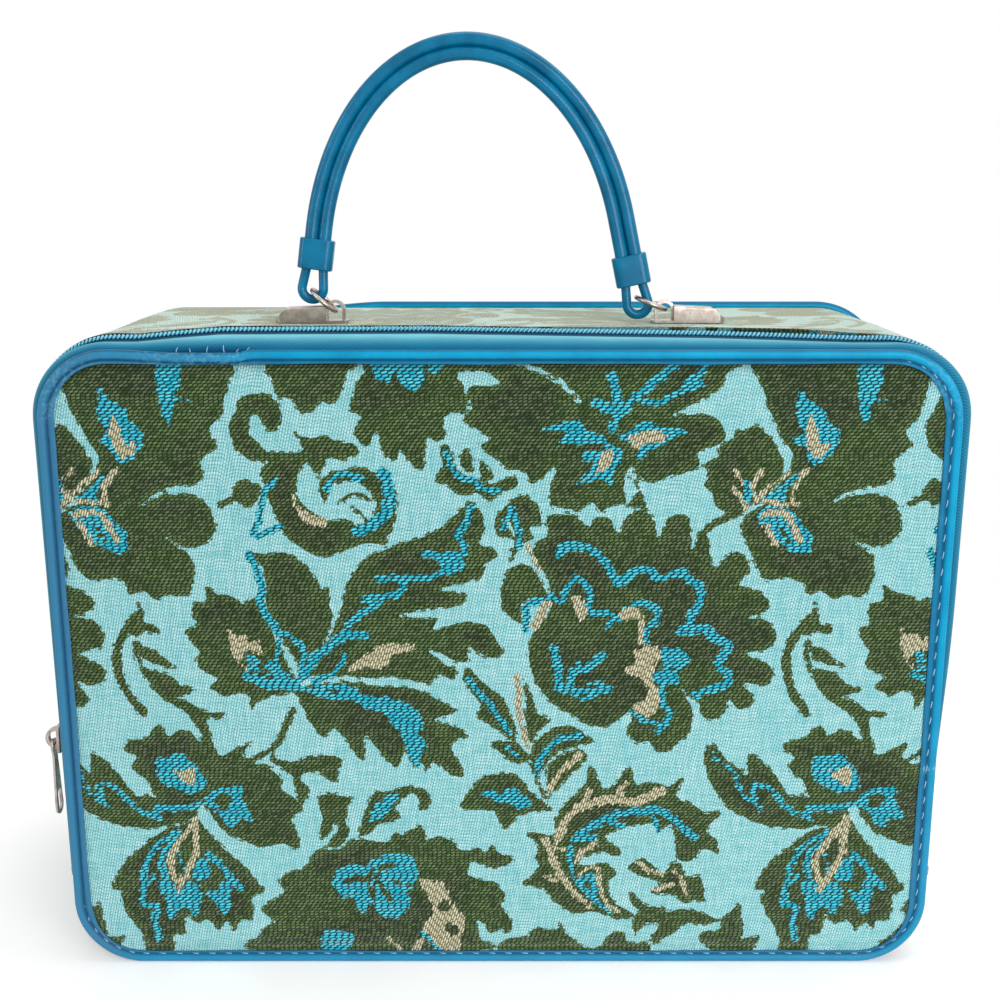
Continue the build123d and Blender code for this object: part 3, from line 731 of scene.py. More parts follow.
        ("turquoise", 1.8, [(38, 133.5), (43, 134.5)]),
    ],
    "fan_leaf": [
        ("green", 0, [(-12, 262), (0, 262.5), (5, 272), (92, 272), (92.5, 267), (90, 262), (84, 257),
            (76, 253), (71, 250), (80, 250.5), (88, 248.5), (92, 243), (90, 238), (85, 236), (81, 233),
            (83, 229), (79, 227), (72, 225), (67, 223), (61, 222), (57, 224.5), (53.5, 228), (51, 220),
            (52.5, 213), (46, 212), (42, 209), (38, 213), (33, 210), (27, 211), (21, 212), (20.5, 218),
            (23, 229), (18, 224), (13, 221), (10, 226), (5, 227), (1, 229), (-3, 233), (-9, 237), (-4, 240),
            (-8, 243), (-13, 246), (-15, 249), (-12, 252), (-13, 257)]),
        ("ground", 1.8, [(4, 272), (14, 268.5), (22, 265), (28, 260), (32, 256)]),
        ("green", 0, [(-17, 272), (-16, 268), (-5, 267.5), (0, 265), (4, 272)]),
        ("turquoise", 3.6, [(46, 244), (48, 250), (50, 254)]),
        ("turquoise", 4.2, [(49, 252), (44, 252.5), (39.5, 255)]),
        ("turquoise", 3.8, [(48.5, 253), (47, 260), (45.5, 266)]),
        ("turquoise", 3.6, [(50, 252), (56, 258), (61, 262), (66, 266), (71, 270)]),
        ("turquoise", 2.8, [(59, 255), (66, 255.5), (72, 258.5), (77, 261), (82, 263)]),
        ("turquoise", 2.4, [(76, 263), (80, 266), (85, 271)]),
        ("turquoise", 0, [(17.5, 244), (24, 246.5), (32, 247.5), (36, 243), (42, 241.5), (45, 238),
            (38, 238), (30, 237.5), (24, 238), (28, 242)]),
        ("turquoise", 0, [(31.5, 221), (36, 226), (39, 230), (33.5, 231), (35, 234.5), (41, 235), (45, 238),
            (49.5, 235), (49.5, 230), (46, 226), (46, 221), (42, 223), (37, 222)]),
        ("tan", 0, [(34, 222.5), (40, 227), (41, 232.5), (45, 237), (46.5, 232), (44, 228), (40, 225)]),
        ("turquoise", 0, [(48.5, 241), (54, 244.5), (60, 247.5), (66, 244.5), (72, 244.5), (77, 242),
            (71, 240), (67, 237), (61, 235), (58, 231), (54.5, 233), (57, 236), (53, 239)]),
        ("tan", 0, [(52.5, 240.5), (58, 243), (63, 243.5), (68.5, 241.5), (66, 238), (60, 238), (56, 235)]),
        ("green", 0, [(52.5, 211.5), (55, 215.5), (58, 219), (59, 215), (60.5, 211.5)]),
        ("green", 1.2, [(53.5, 226), (57, 220), (60, 213)]),
    ],
    "high_leaf": [
        ("green", 0, [(-54, 272), (-17.5, 272), (-17.5, 266), (-14.5, 262), (-13.5, 255), (-14.5, 250.5),
            (-20, 250.5), (-23, 247), (-22, 241), (-26, 239), (-30, 241), (-30.5, 234), (-31.5, 227.5),
            (-35, 228), (-38, 231), (-41, 235), (-43, 231), (-46, 232), (-48.5, 236), (-50, 243),
            (-52, 240), (-54, 237), (-57.5, 238), (-59.5, 243), (-57, 249.5), (-61.5, 252), (-60, 258),
            (-58, 264), (-55, 268)]),
        ("turquoise", 0, [(-51, 272), (-50, 264), (-45, 264), (-42.5, 268), (-40, 262), (-36, 259.5),
            (-32, 262), (-32, 272)]),
        ("turquoise", 3, [(-29, 271), (-26.5, 268.5), (-24, 271)]),
        ("green", 0, [(-94, 272), (-92, 263), (-90, 257), (-85, 256), (-82, 251), (-79, 250), (-76, 252.5),
            (-73, 255.5), (-69, 254), (-66, 257.5), (-63, 262), (-62, 267), (-59, 272)]),
    ],
    "small_sprig": [
        ("green", 0, [(-27, 223), (-24, 229), (-24.5, 236), (-21, 238.5), (-19, 232), (-17, 226.5),
            (-13, 222.5), (-8, 222.5), (-2, 221.5), (1, 223.5), (6, 224.5), (8, 221.5), (5, 219), (0, 217),
            (-5, 213.5), (-9, 217), (-14, 216.5), (-18, 217.5), (-22, 221)]),
        ("turquoise", 2.8, [(-22, 235), (-20.5, 229), (-17.5, 225), (-11, 223), (-7, 219.5), (0, 218.5)]),
        ("green", 0, [(-17, 229), (-16, 234), (-13, 236), (-11, 231), (-12, 226)]),
        ("green", 0, [(-9, 228), (-8, 231.5), (-4, 227), (-3, 223), (-7, 222)]),
        ("green", 0, [(-2, 201), (-2, 206), (0, 210), (4, 214), (9, 217), (14, 214), (17.5, 208),
            (16.5, 204), (12.5, 203), (13.5, 198), (10, 196.5), (8, 193), (4, 187), (4.5, 193), (6, 197),
            (1, 199)]),
        ("turquoise", 2.6, [(1, 202.5), (3, 207), (5, 211)]),
        ("turquoise", 2.6, [(5, 210), (7, 205), (8, 199), (7.5, 195)]),
        ("ground", 1.2, [(3.5, 205), (5.5, 199.5)]),
        ("tan", 1.6, [(11.5, 196), (13, 191), (17, 184)]),
    ],
    "climbing_vine": [
        ("green", 0, [(130, 160), (132, 167), (132.5, 171), (134.5, 166), (135, 161.5), (140.5, 159.5),
            (140, 156), (134, 157), (131, 155), (127, 156)]),
        ("green", 4, [(131, 163), (126, 157), (122.5, 150), (122, 142), (123.5, 134), (127, 127),
            (131.5, 120.5)]),
        ("green", 0, [(129, 156), (133, 151), (138, 149), (142, 145), (147.5, 141), (140, 142),
            (136, 143.5), (132, 147)]),
        ("green", 0, [(130, 155), (132, 146), (134, 141), (138, 140), (144, 138), (148, 134), (154.5, 131),
            (150, 128), (146, 127.5), (152, 125.5), (157, 122), (162, 121), (167.5, 120), (163, 117.5),
            (159.5, 118), (160, 112), (162, 104), (162, 97), (157, 97), (157, 106), (155, 113), (151, 119),
            (146, 123), (139, 128), (135, 134), (131, 141), (129, 148)]),
    ],
    "bell_lily": [
        ("green", 0, [(-163, 104), (-160, 108), (-153, 109), (-150, 113), (-146, 114.5), (-143, 110),
            (-139, 112.5), (-134, 112), (-130, 108), (-124, 107), (-122, 101), (-116, 103), (-107, 107.5),
            (-111, 101), (-106, 97), (-100, 95.5), (-95, 90), (-95, 85), (-90, 81), (-86, 76), (-91, 71),
            (-89, 65), (-88, 57), (-91, 56.5), (-97, 59), (-104, 57), (-111, 59.5), (-117, 62), (-122, 66),
            (-126, 71), (-130, 78), (-134, 73), (-141, 72), (-147, 70), (-150, 71), (-156, 75), (-150, 80),
            (-152, 84), (-153, 88), (-158, 92), (-160, 96), (-158, 100)]),
        ("green", 0, [(-196, 97), (-197, 102), (-194, 107), (-190, 103), (-186, 98.5), (-181, 95),
            (-178, 92), (-178, 98), (-177, 102), (-173, 100), (-168, 95), (-164, 90), (-161, 84),
            (-158, 82), (-152, 82), (-145, 79), (-135, 77), (-132, 73), (-137, 69.5), (-145, 67.5),
            (-155, 66), (-165, 67), (-173, 69.5), (-180, 73), (-186, 77), (-190, 82), (-193, 87),
            (-195, 92)]),
        ("turquoise", 2, [(-194, 102), (-190, 98), (-186, 95), (-183, 92), (-181, 86), (-178, 82),
            (-174, 79), (-171, 75.5)]),
        ("turquoise", 2.4, [(-174, 80), (-175, 86), (-172, 87), (-167, 85), (-163, 80), (-159, 76),
            (-154, 73), (-149, 71)]),
        ("turquoise", 3.2, [(-151, 72), (-149, 76), (-142, 76), (-136, 76.5), (-131, 78)]),
        ("turquoise", 0, [(-149, 99), (-144, 100.5), (-137, 101), (-134, 98), (-130, 93), (-128, 88),
            (-130, 84), (-136, 83), (-142, 85), (-147, 88), (-149, 92)]),
        ("tan", 0, [(-143, 95), (-138, 93.5), (-133, 95.5), (-132, 90), (-134, 86.5), (-138, 89),
            (-141, 92)]),
        ("turquoise", 0, [(-129, 79), (-126, 84), (-120, 86), (-112, 85.5), (-113, 80), (-110, 76),
            (-108.5, 70), (-114, 71), (-117, 66), (-121, 69), (-123, 73), (-127, 76)]),
        ("green", 0, [(-124.5, 78), (-123, 82), (-118, 82.5), (-117, 79), (-121, 75.5)]),
        ("green", 0, [(-147, 66), (-140, 68), (-133, 72), (-129, 66), (-124, 60), (-118, 53), (-112, 47),
            (-108, 41), (-104.5, 36), (-110, 33), (-110, 27), (-111, 21), (-116, 21), (-119, 16),
            (-122, 20.5), (-126, 16), (-130, 21), (-136, 20), (-140, 24), (-141, 15), (-146, 13), (-147, 5),
            (-159, 5), (-160, 12), (-163, 19), (-167, 26), (-169, 33), (-168, 36), (-172.5, 37), (-170, 43),
            (-166, 50), (-160, 56), (-153, 62)]),
        ("turquoise", 2.8, [(-141, 64.5), (-149, 60), (-154, 54), (-157, 47), (-158, 40), (-159, 30)]),
        ("turquoise", 2.2, [(-153, 43), (-157, 39)]),
        ("turquoise", 3.2, [(-159, 29), (-153, 28), (-154.5, 21), (-152.5, 12)]),
        ("turquoise", 3.2, [(-142, 61), (-147, 56), (-149.5, 50), (-148.5, 44)]),
        ("turquoise", 0, [(-151, 41), (-146, 41.5), (-143.5, 36), (-140, 39), (-136, 40.5), (-133, 37),
            (-133, 30), (-136.5, 23.5), (-140, 28), (-143, 26), (-146.5, 21.5), (-149, 25), (-149, 32),
            (-151.5, 37)]),
        ("turquoise", 0, [(-137, 43), (-133, 52), (-129, 50), (-128.5, 43), (-132, 40.5)]),
        ("turquoise", 3.4, [(-129, 54), (-124, 49), (-120, 43), (-115, 37.5)]),
        ("turquoise", 0, [(-130.5, 36), (-125, 36.5), (-123, 41), (-119, 40), (-120, 33), (-120.5, 25),
            (-124, 25.5), (-128, 31)]),
        ("tan", 3, [(-133, 71), (-134, 62), (-134, 55), (-137, 48), (-140.5, 41), (-143, 36.5)]),
        ("tan", 3, [(-136, 67), (-141, 60), (-145, 54), (-145.5, 47), (-143, 40)]),
        ("green", 0, [(-141, 56), (-138, 61), (-136, 56), (-138.5, 50), (-141.5, 45.5), (-142.5, 50)]),
        ("turquoise", 1.6, [(-141.5, 54), (-140, 46)]),
    ],
    "wide_flower": [
        ("green", 0, [(-109, 5), (-108, 14), (-105, 18), (-101, 21), (-105.5, 25), (-105, 29), (-100, 32),
            (-96.5, 36), (-98, 41), (-94, 45), (-88, 47), (-84, 50), (-83, 54.5), (-78, 56.5), (-70, 57),
            (-67, 60.5), (-60, 61.5), (-54, 60), (-49, 61), (-47, 64.5), (-42, 64), (-37, 67.5), (-33, 66),
            (-32, 60.5), (-27, 62.5), (-21, 61), (-18, 56.5), (-14, 56), (-9, 58), (-7, 55), (-4, 58),
            (0, 55), (6.5, 52), (3, 48.5), (-2, 47), (-8, 48.5), (-13, 50), (-14, 45), (-9, 42), (-3, 41),
            (0, 38), (2.5, 34), (1, 29), (4, 24), (6, 19), (3, 15), (0, 17), (-4, 15), (-7, 19), (-10, 21),
            (-9.5, 13), (-8, 5)]),
        ("turquoise", 0, [(-71, 33), (-74, 40), (-72, 46), (-66, 49), (-60, 48), (-55, 52), (-49, 54),
            (-42, 54), (-38, 51), (-36, 45), (-38, 39), (-41, 36), (-40, 30), (-43, 25), (-49, 22),
            (-54, 25), (-57, 30), (-60, 25), (-64, 28), (-66, 33)]),
        ("green", 2.4, [(-68, 40), (-64, 42.5), (-60, 41), (-56, 46)]),
        ("green", 2.6, [(-56, 38), (-53, 46), (-48, 48.5)]),
        ("green", 2.2, [(-58, 40), (-56.5, 33)]),
        ("green", 2.8, [(-53, 39), (-48.5, 31)]),
        ("green", 1.6, [(-49, 41), (-40, 39)]),
        ("turquoise", 0, [(-80, 6.5), (-79, 15), (-74, 16.5), (-66, 14), (-67, 8), (-73, 5)]),
        ("tan", 0, [(-36, 43), (-30, 41), (-25, 39.5), (-22, 33), (-19, 27), (-15.5, 21), (-17, 13),
            (-19, 5), (-27, 6), (-30, 12), (-34.5, 17), (-31, 23), (-30, 29), (-33, 35)]),
        ("green", 0, [(-28.5, 28.5), (-25, 32), (-22, 29), (-24.5, 26)]),
        ("green", 0, [(-25, 16.5), (-22, 20), (-18.5, 17), (-21, 13.5)]),
        ("tan", 2, [(-50, 12), (-45, 6)]),
        ("tan", 3, [(-38, 5), (-35, 11)]),
        ("turquoise", 2.6, [(-34, 15.5), (-31, 10), (-26.5, 6)]),
    ],
    "loose_leaves": [
        ("green", 0, [(-62, 63), (-60.5, 70), (-58, 78), (-54, 84.5), (-48, 84), (-42, 86.5), (-35, 86),
            (-30.5, 82), (-31, 76.5), (-36, 74.5), (-35, 80), (-38, 83), (-42, 81), (-46, 76),
            (-42.5, 71.5), (-50, 69), (-55, 67), (-58, 63.5)]),
        ("turquoise", 0, [(-57, 69.5), (-55, 77), (-50, 81), (-44, 84), (-46, 79), (-49, 74), (-53, 70.5)]),
        ("green", 3, [(-89, 122), (-92, 115), (-95, 108), (-100, 103), (-108, 98)]),
        ("green", 0, [(-100, 104), (-95, 99), (-88, 98), (-84, 100.5), (-75, 101), (-67.5, 99), (-70, 95),
            (-70, 89.5), (-74, 89), (-78, 92.5), (-84, 93), (-86, 89), (-83, 84), (-86.5, 77), (-89, 83),
            (-90, 90), (-94, 94), (-99, 98)]),
        ("green", 0, [(-79, 82.5), (-72, 83), (-64, 80.5), (-67, 77), (-67, 70), (-66, 64), (-70, 57.5),
            (-76, 58), (-79, 62), (-78, 70), (-79, 77)]),
        ("ground", 2.2, [(-72, 67.5), (-76.5, 59)]),
    ],
    "leaf_stem": [
        ("green", 0, [(-14, 141.5), (-15.5, 136), (-12, 130), (-8, 124), (-10.5, 120), (-6, 116), (0, 112),
            (6, 108.5), (7, 113), (4, 121), (2, 127), (-4, 132), (-9, 137)]),
        ("turquoise", 3, [(-14, 136.5), (-9, 130), (-4, 124), (0, 118), (3.5, 112)]),
        ("tan", 2.8, [(7, 137.5), (8, 128), (8, 120), (10, 112), (12.5, 105)]),
        ("green", 0, [(10, 136), (14, 128), (16, 121), (21.5, 118), (19, 114), (16, 111), (13.5, 106.5),
            (11.5, 112), (10.5, 119), (11, 127)]),
        ("green", 0, [(14, 105), (18, 110), (24, 114), (31, 114.5), (37, 111), (40.5, 106.5), (35, 106),
            (30, 104), (26, 103), (22, 100), (18.5, 95), (16, 91), (13.5, 98)]),
        ("turquoise", 3.2, [(34, 110), (26, 109), (21, 104), (17, 98), (16, 92.5)]),
        ("green", 0, [(21, 85), (20, 93), (23, 99), (28, 102), (34, 103.5), (37.5, 100), (34, 95), (29, 90),
            (25, 85), (22, 82)]),
        ("tan", 2.8, [(34.5, 101), (29, 96), (25, 91), (22, 84.5)]),
        ("green", 0, [(-4.5, 106.5), (0, 108), (6, 108), (10, 104), (13, 100), (9, 97.5), (4, 98.5),
            (0, 102)]),
        ("turquoise", 2, [(3, 105.5), (8, 99.5)]),
        ("green", 1.8, [(13, 100), (15, 92), (18.5, 84), (22, 76)]),
        ("green", 0, [(-17.5, 76.5), (-14, 83), (-9, 90), (-3, 92.5), (4, 93), (9, 90), (13, 85), (18, 80),
            (21.5, 75.5), (14, 74), (8, 72), (2.5, 66.5), (0, 69), (-2, 74), (-8, 75)]),
        ("turquoise", 0, [(-8.5, 82), (-4, 85.5), (0, 83), (6, 86.5), (9, 83), (14.5, 78.5), (8, 75.5),
            (4, 79.5), (0, 78.5), (-4, 81)]),
    ],
    "paisley": [
        ("green", 0, [(33, 25), (25, 30), (19, 37), (10.5, 39.5), (15, 45), (17, 49), (15, 53), (17, 58),
            (11.5, 64.5), (23, 64), (24, 71), (28, 78), (33, 83), (37, 88), (39, 96), (43, 90), (45, 85),
            (51, 89), (56, 96), (59, 88), (66, 88.5), (73, 87), (79.5, 90), (77, 82), (83, 79), (90, 74),
            (97.5, 75), (93, 69), (91, 65), (95, 61), (96.5, 54.5), (89, 57), (86, 51.5), (79, 50.5),
            (77.5, 56), (77, 62), (75, 68), (71, 66), (66, 69), (60, 68), (53, 66), (46, 62), (52.5, 57),
            (52, 53), (45, 55), (38, 53), (34, 49), (40, 49.5), (47, 49.5), (51.5, 45), (48, 41), (49, 35),
            (53, 29), (60.5, 23.5), (52, 22), (45, 25), (40, 26)]),
        ("tan", 4, [(26, 62), (29, 70), (34, 76), (42, 79), (50, 81)]),
        ("tan", 2.6, [(50, 81), (55, 88)]),
        ("tan", 4.4, [(50, 80), (58, 79), (64, 81), (70, 84.5)]),
        ("tan", 2.2, [(36, 79), (39.5, 84.5)]),
        ("tan", 3, [(20, 61), (23, 53), (26, 46), (30, 39), (35, 33), (40.5, 28.5)]),
        ("tan", 2.6, [(19.5, 44), (25, 41)]),
        ("tan", 2.4, [(22, 58), (27.5, 56.5)]),
        ("tan", 2.4, [(43, 60), (37, 56), (34, 51)]),
        ("tan", 2, [(35, 43.5), (40, 48), (45, 46)]),
        ("tan", 2.2, [(43.5, 44), (44.5, 36), (48, 29), (53, 26)]),
        ("turquoise", 3.8, [(62, 75), (50, 73), (43, 69), (37, 65), (33, 61)]),
        ("turquoise", 3.2, [(53.5, 67.5), (47, 70)]),
        ("turquoise", 3.8, [(60, 74), (68, 75.5), (74, 72.5), (79, 68), (85, 63)]),
        ("turquoise", 2.8, [(67, 72), (69.5, 65.5)]),
        ("turquoise", 3, [(42, 62), (34, 62)]),
        ("turquoise", 2.8, [(31, 57), (31, 49), (33, 42), (38, 37), (42, 31), (49, 27)]),
        ("turquoise", 4.2, [(35, 41), (40, 43), (42, 38), (41, 33)]),
        ("green", 1.4, [(29, 62), (29, 52), (31.5, 42), (37, 34), (43, 28)]),
        ("green", 1.4, [(31, 66), (38, 72), (48, 76), (60, 77.5)]),
        ("green", 0, [(56.5, 48), (62, 52.5), (68, 49), (72, 45), (76, 50), (80, 49.5), (83, 43),
            (88.5, 44), (90, 38), (92, 30), (88, 31), (82, 30.5), (77, 34), (70, 34.5), (66.5, 36),
            (71, 40), (68, 42), (62, 43)]),
        ("tan", 2.4, [(61, 50), (66, 46), (72, 44)]),
        ("tan", 2.4, [(69, 37), (76.5, 39.5)]),
        ("tan", 2.2, [(77.5, 46), (81, 40), (83, 34)]),
        ("green", 0, [(57.5, 36), (62, 32), (66, 29), (72, 28.5), (75, 26), (82, 27.5), (88, 26), (93, 24),
            (98, 21), (90, 19), (84, 20), (80, 17), (75, 13), (69, 8.5), (68, 14), (71, 19.5), (64, 19),
            (60, 13), (59.5, 22), (62, 26), (59, 29)]),
        ("green", 0, [(106.5, 30), (107.5, 24), (109, 17), (109, 12.5), (116.5, 13.5), (115, 9), (113, 4),
            (97, 4), (92, 8), (89, 13), (92, 16), (98, 17), (99, 22), (103, 27)]),
        ("green", 0, [(47, 13), (52, 15.5), (56, 14), (58, 10), (66.5, 10), (66, 4), (42, 4), (46, 8)]),
        ("green", 0, [(2, 11), (8, 13), (12, 13), (15, 18), (22, 17), (26, 18), (27, 22), (29, 16),
            (33, 12), (37, 8), (41, 4), (2, 4)]),
    ],
}


def eased(points, closed, parts=4):
    """A smooth line through points."""
    points = np.array(points, float)
    if len(points) < 3:
        return points
    ahead = [np.roll(points, -k, 0) for k in range(3)]
    if closed:
        before, first, second, after = np.roll(points, 1, 0), *ahead
    else:
        padded = np.concatenate([2 * points[:1] - points[1:2], points, 2 * points[-1:] - points[-2:-1]])
        before, first, second, after = padded[:-3], padded[1:-2], padded[2:-1], padded[3:]
    line = []
    for bit in np.arange(parts) / parts:
        line.append(first + 0.5 * bit * (second - before + bit * (
            2 * before - 5 * first + 4 * second - after + bit * (3 * (first - second) + after - before))))
    line = np.stack(line, 1).reshape(-1, 2)
    return line if closed else np.concatenate([line, points[-1:]])


def depth_inside(places, line, width):
    """How far places lie inside a closed line, or inside a stroke of a width."""
    ends = np.roll(line, -1, 0) if not width else line[1:]
    starts = line if not width else line[:-1]
    nearest = np.full(len(places), np.inf)
    inside = np.zeros(len(places), bool)
    for (ax, az), (bx, bz) in zip(starts, ends):
        run = (bx - ax) ** 2 + (bz - az) ** 2 + 1e-12
        share = np.clip(((places[:, 0] - ax) * (bx - ax) + (places[:, 1] - az) * (bz - az)) / run, 0, 1)
        gap = (places[:, 0] - ax - share * (bx - ax)) ** 2 + (places[:, 1] - az - share * (bz - az)) ** 2
        np.minimum(nearest, gap, out=nearest)
        if not width and az != bz:
            crosses = (az > places[:, 1]) != (bz > places[:, 1])
            inside ^= crosses & (places[:, 0] < ax + (places[:, 1] - az) / (bz - az) * (bx - ax))
    nearest = np.sqrt(nearest)
    return width / 2 - nearest if width else np.where(inside, nearest, -nearest)


def motif_fields(thread):
    """How far each place on the cloth lies inside the green, turquoise and tan fields, in millimetres."""
    fields = {yarn: np.full(len(thread), -field_reach) for yarn in ("green", "turquoise", "tan")}
    order = np.argsort(thread[:, 0], kind="stable")
    sorted_along = thread[order, 0]
    for shapes in motifs.values():
        for yarn, width, points in shapes:
            line = eased(points, not width)
            low, high = line.min(0) - field_reach - width / 2, line.max(0) + field_reach + width / 2
            first = int(np.ceil((sorted_along[0] - high[0]) / motif_repeat))
            last = int(np.floor((sorted_along[-1] - low[0]) / motif_repeat))
            for copy in range(first, last + 1):
                move = copy * motif_repeat
                span = slice(*np.searchsorted(sorted_along, (low[0] + move, high[0] + move)))
                picked = order[span]
                picked = picked[(thread[picked, 1] > low[1]) & (thread[picked, 1] < high[1])]
                if not len(picked):
                    continue
                depth = depth_inside(thread[picked] - (move, 0.0), line, width)
                for name, field in fields.items():
                    if name == yarn:
                        field[picked] = np.maximum(field[picked], depth)
                    elif yarn in ("ground", "green"):
                        field[picked] = np.minimum(field[picked], -depth)
    return fields


def weave(piece, thread):
    """Stores the thread places and the motif fields of a cloth."""
    vectors = np.concatenate([thread, np.zeros((len(thread), 1))], 1)
    store(piece, "thread", vectors)
    for name, values in motif_fields(thread).items():
        store(piece, name, values)


# Panels

flange_trim = 0.0015
flange_trim_low = 0.0019
panel_tuck = 0.0048
panel_puff, puff_reach = 0.0013, 0.0022
panel_crown, crown_reach = 0.0016, 0.045
wave_reach = 0.02
edge_shade_reach, edge_shade_drop, edge_shade_blend = 0.0015, 0.018, 0.01
front_cloth_step = 0.00112
back_cloth_step = 0.0016
back_thread_shift, back_thread_rise = 96, -6


def ease(value):
    """0 below 0, 1 above 1, and a smooth rise between them."""
    value = np.clip(value, 0, 1)
    return value * value * (3 - 2 * value)


def panel_cloth(name, outline_half, low, high, radius, face, forward, step, waves, thread_of):
    """A stuffed panel: a grid of cloth under its binding, raised in the middle, with a flat back."""
    bottom_half, top_half = outline_half
    inner = radius - panel_tuck
    straight = np.arange(low + radius, high - radius, step)
    turns = np.linspace(0, math.pi / 2, int(inner * math.pi / 2 / step))
    lower = low + radius - inner * np.cos(turns)
    upper = high - radius + inner * np.sin(turns[1:])
    heights = np.concatenate([lower[:-1], straight, upper])
    pull = np.concatenate([inner * (1 - np.sin(turns[:-1])), np.zeros(len(straight)),
                           inner * (1 - np.cos(turns[1:]))])
    halves = half_at(heights - low, bottom_half, top_half, high - low) - panel_tuck - pull
    columns = int(2 * (top_half - panel_tuck) / step)
    spread = np.linspace(-1, 1, columns)
    x = halves[:, None] * spread[None, :]
    z = np.repeat(heights[:, None], columns, 1)
    side = half_at(z - low, bottom_half, top_half, high - low)
    edge_x, edge_z = side - np.abs(x), np.minimum(z - low, high - z)
    corner = np.maximum(radius - edge_x, 0), np.maximum(radius - edge_z, 0)
    inset = np.where((corner[0] > 0) & (corner[1] > 0),
                     radius - np.hypot(*corner), np.minimum(edge_x, edge_z))
    within = np.maximum(inset - binding_width, 0)
    rise = panel_puff * (1 - np.exp(-within / puff_reach)) + panel_crown * (1 - np.exp(-within / crown_reach))
    rise += ripple(x, z, waves) * (1 - np.exp(-within / wave_reach))
    y = face - forward * rise
    points = np.stack([x, y, z], -1).reshape(-1, 3)
    rows = len(heights)
    faces = grid_faces(rows, columns, flip=forward < 0)
    rim = list(range(columns)) + [k * columns + columns - 1 for k in range(1, rows)]
    rim += [(rows - 1) * columns + k for k in range(columns - 2, -1, -1)]
    rim += [k * columns for k in range(rows - 2, 0, -1)]
    under = points[rim].copy()
    under[:, 1] = face + forward * cloth_thickness
    base = len(points)
    points = np.concatenate([points, under])
    for k, point in enumerate(rim):
        after = (k + 1) % len(rim)
        quad = (point, base + k, base + after, rim[after])
        faces.append(quad if forward > 0 else quad[::-1])
    back = tuple(range(base, base + len(rim)))
    faces.append(back[::-1] if forward > 0 else back)
    piece = make_piece(name, points, faces, tapestry)
    weave(piece, thread_of(points))
    shown = np.maximum(inset - binding_width + flange_trim, 0)
    shade = np.exp(-shown / edge_shade_reach) * ease((z - high + edge_shade_drop) / edge_shade_blend)
    store(piece, "shade", np.concatenate([shade.ravel(), np.ones(len(rim))]))
    return piece


front_waves = [(23.0, 9.0, 0.4, 0.00022), (-11.0, 31.0, 1.9, 0.00020), (47.0, -38.0, 0.7, 0.00010),
               (71.0, 55.0, 2.6, 0.00006)]
back_waves = [(19.0, -13.0, 1.4, 0.00025), (9.0, 27.0, 0.3, 0.00022), (-52.0, 41.0, 2.2, 0.00008)]


def front_thread(points):
    """Thread places of the front, in millimetres from the middle of its bottom edge."""
    return points[:, [0, 2]] * millimetres


def back_thread(points):
    """Thread places of the back, seen from behind, further along the same cloth."""
    return np.stack([-points[:, 0] * millimetres + back_thread_shift,
                     points[:, 2] * millimetres + back_thread_rise], 1)


front_panel = panel_cloth("front_tapestry", (front_high.x, front_high.x), front_low.z, front_high.z,
                          corner_radius_front, flange_front + flange_thickness, 1, front_cloth_step,
                          front_waves, front_thread)
back_panel = panel_cloth("back_tapestry", (back_high.x - bottom_taper / 2, back_high.x),
                         back_low.z, back_high.z, corner_radius_back, -flange_front - flange_thickness, -1,
                         back_cloth_step, back_waves, back_thread)


# Gusset

zip_rise_top = 0.0031
zip_rise_right = 0.0015
zip_sag = [(-0.150, 0.0034), (-0.133, 0.0017), (-0.115, 0.0003), (-0.030, 0.0),
           (0.050, 0.0013), (0.085, 0.0018), (0.113, 0.0026), (0.145, 0.0038)]
back_dip = 0.0009
fold_depth = 0.0040
gusset_sag = 0.0005
gusset_slack = 0.0008
gusset_waves = [(31.0, 40.0, 0.2, 0.0003), (67.0, -25.0, 1.1, 0.00015)]
hinge_draw, draw_reach = 0.0024, 0.009
hinge_blend = 0.0012
gusset_step, gusset_rows = 0.0015, 84
inside_rows, inside_share = 14, 0.2
zip_lift, zip_lift_reach = 0.0004, 0.014
lift_low, lift_blend = 0.02, 0.06
right_rise_low, right_rise_blend = 0.04, 0.1
dip_reach = 0.016
slack_reach = 0.06
sag_shares = [(0.0, 1.0), (0.06, 0.45), (0.125, 0.5), (0.165, 1.1)]
reverse_fade = 0.8
fold_shade, fold_shade_reach = 0.5, 0.0004
gusset_thread_rise = 148


def zip_rise(outline, sagging=1.0):
    """How far the zip stands out from the boards: most in the middle of the top, less on the right side."""
    x, height = outline.points.T
    sag = np.interp(x, *np.array(zip_sag).T) * sagging
    upper_right = outline.facing(1, 0) * np.clip((height - right_rise_low) / right_rise_blend, 0, 1)
    return (zip_rise_top - sag) * outline.facing(0, 1) + zip_rise_right * upper_right


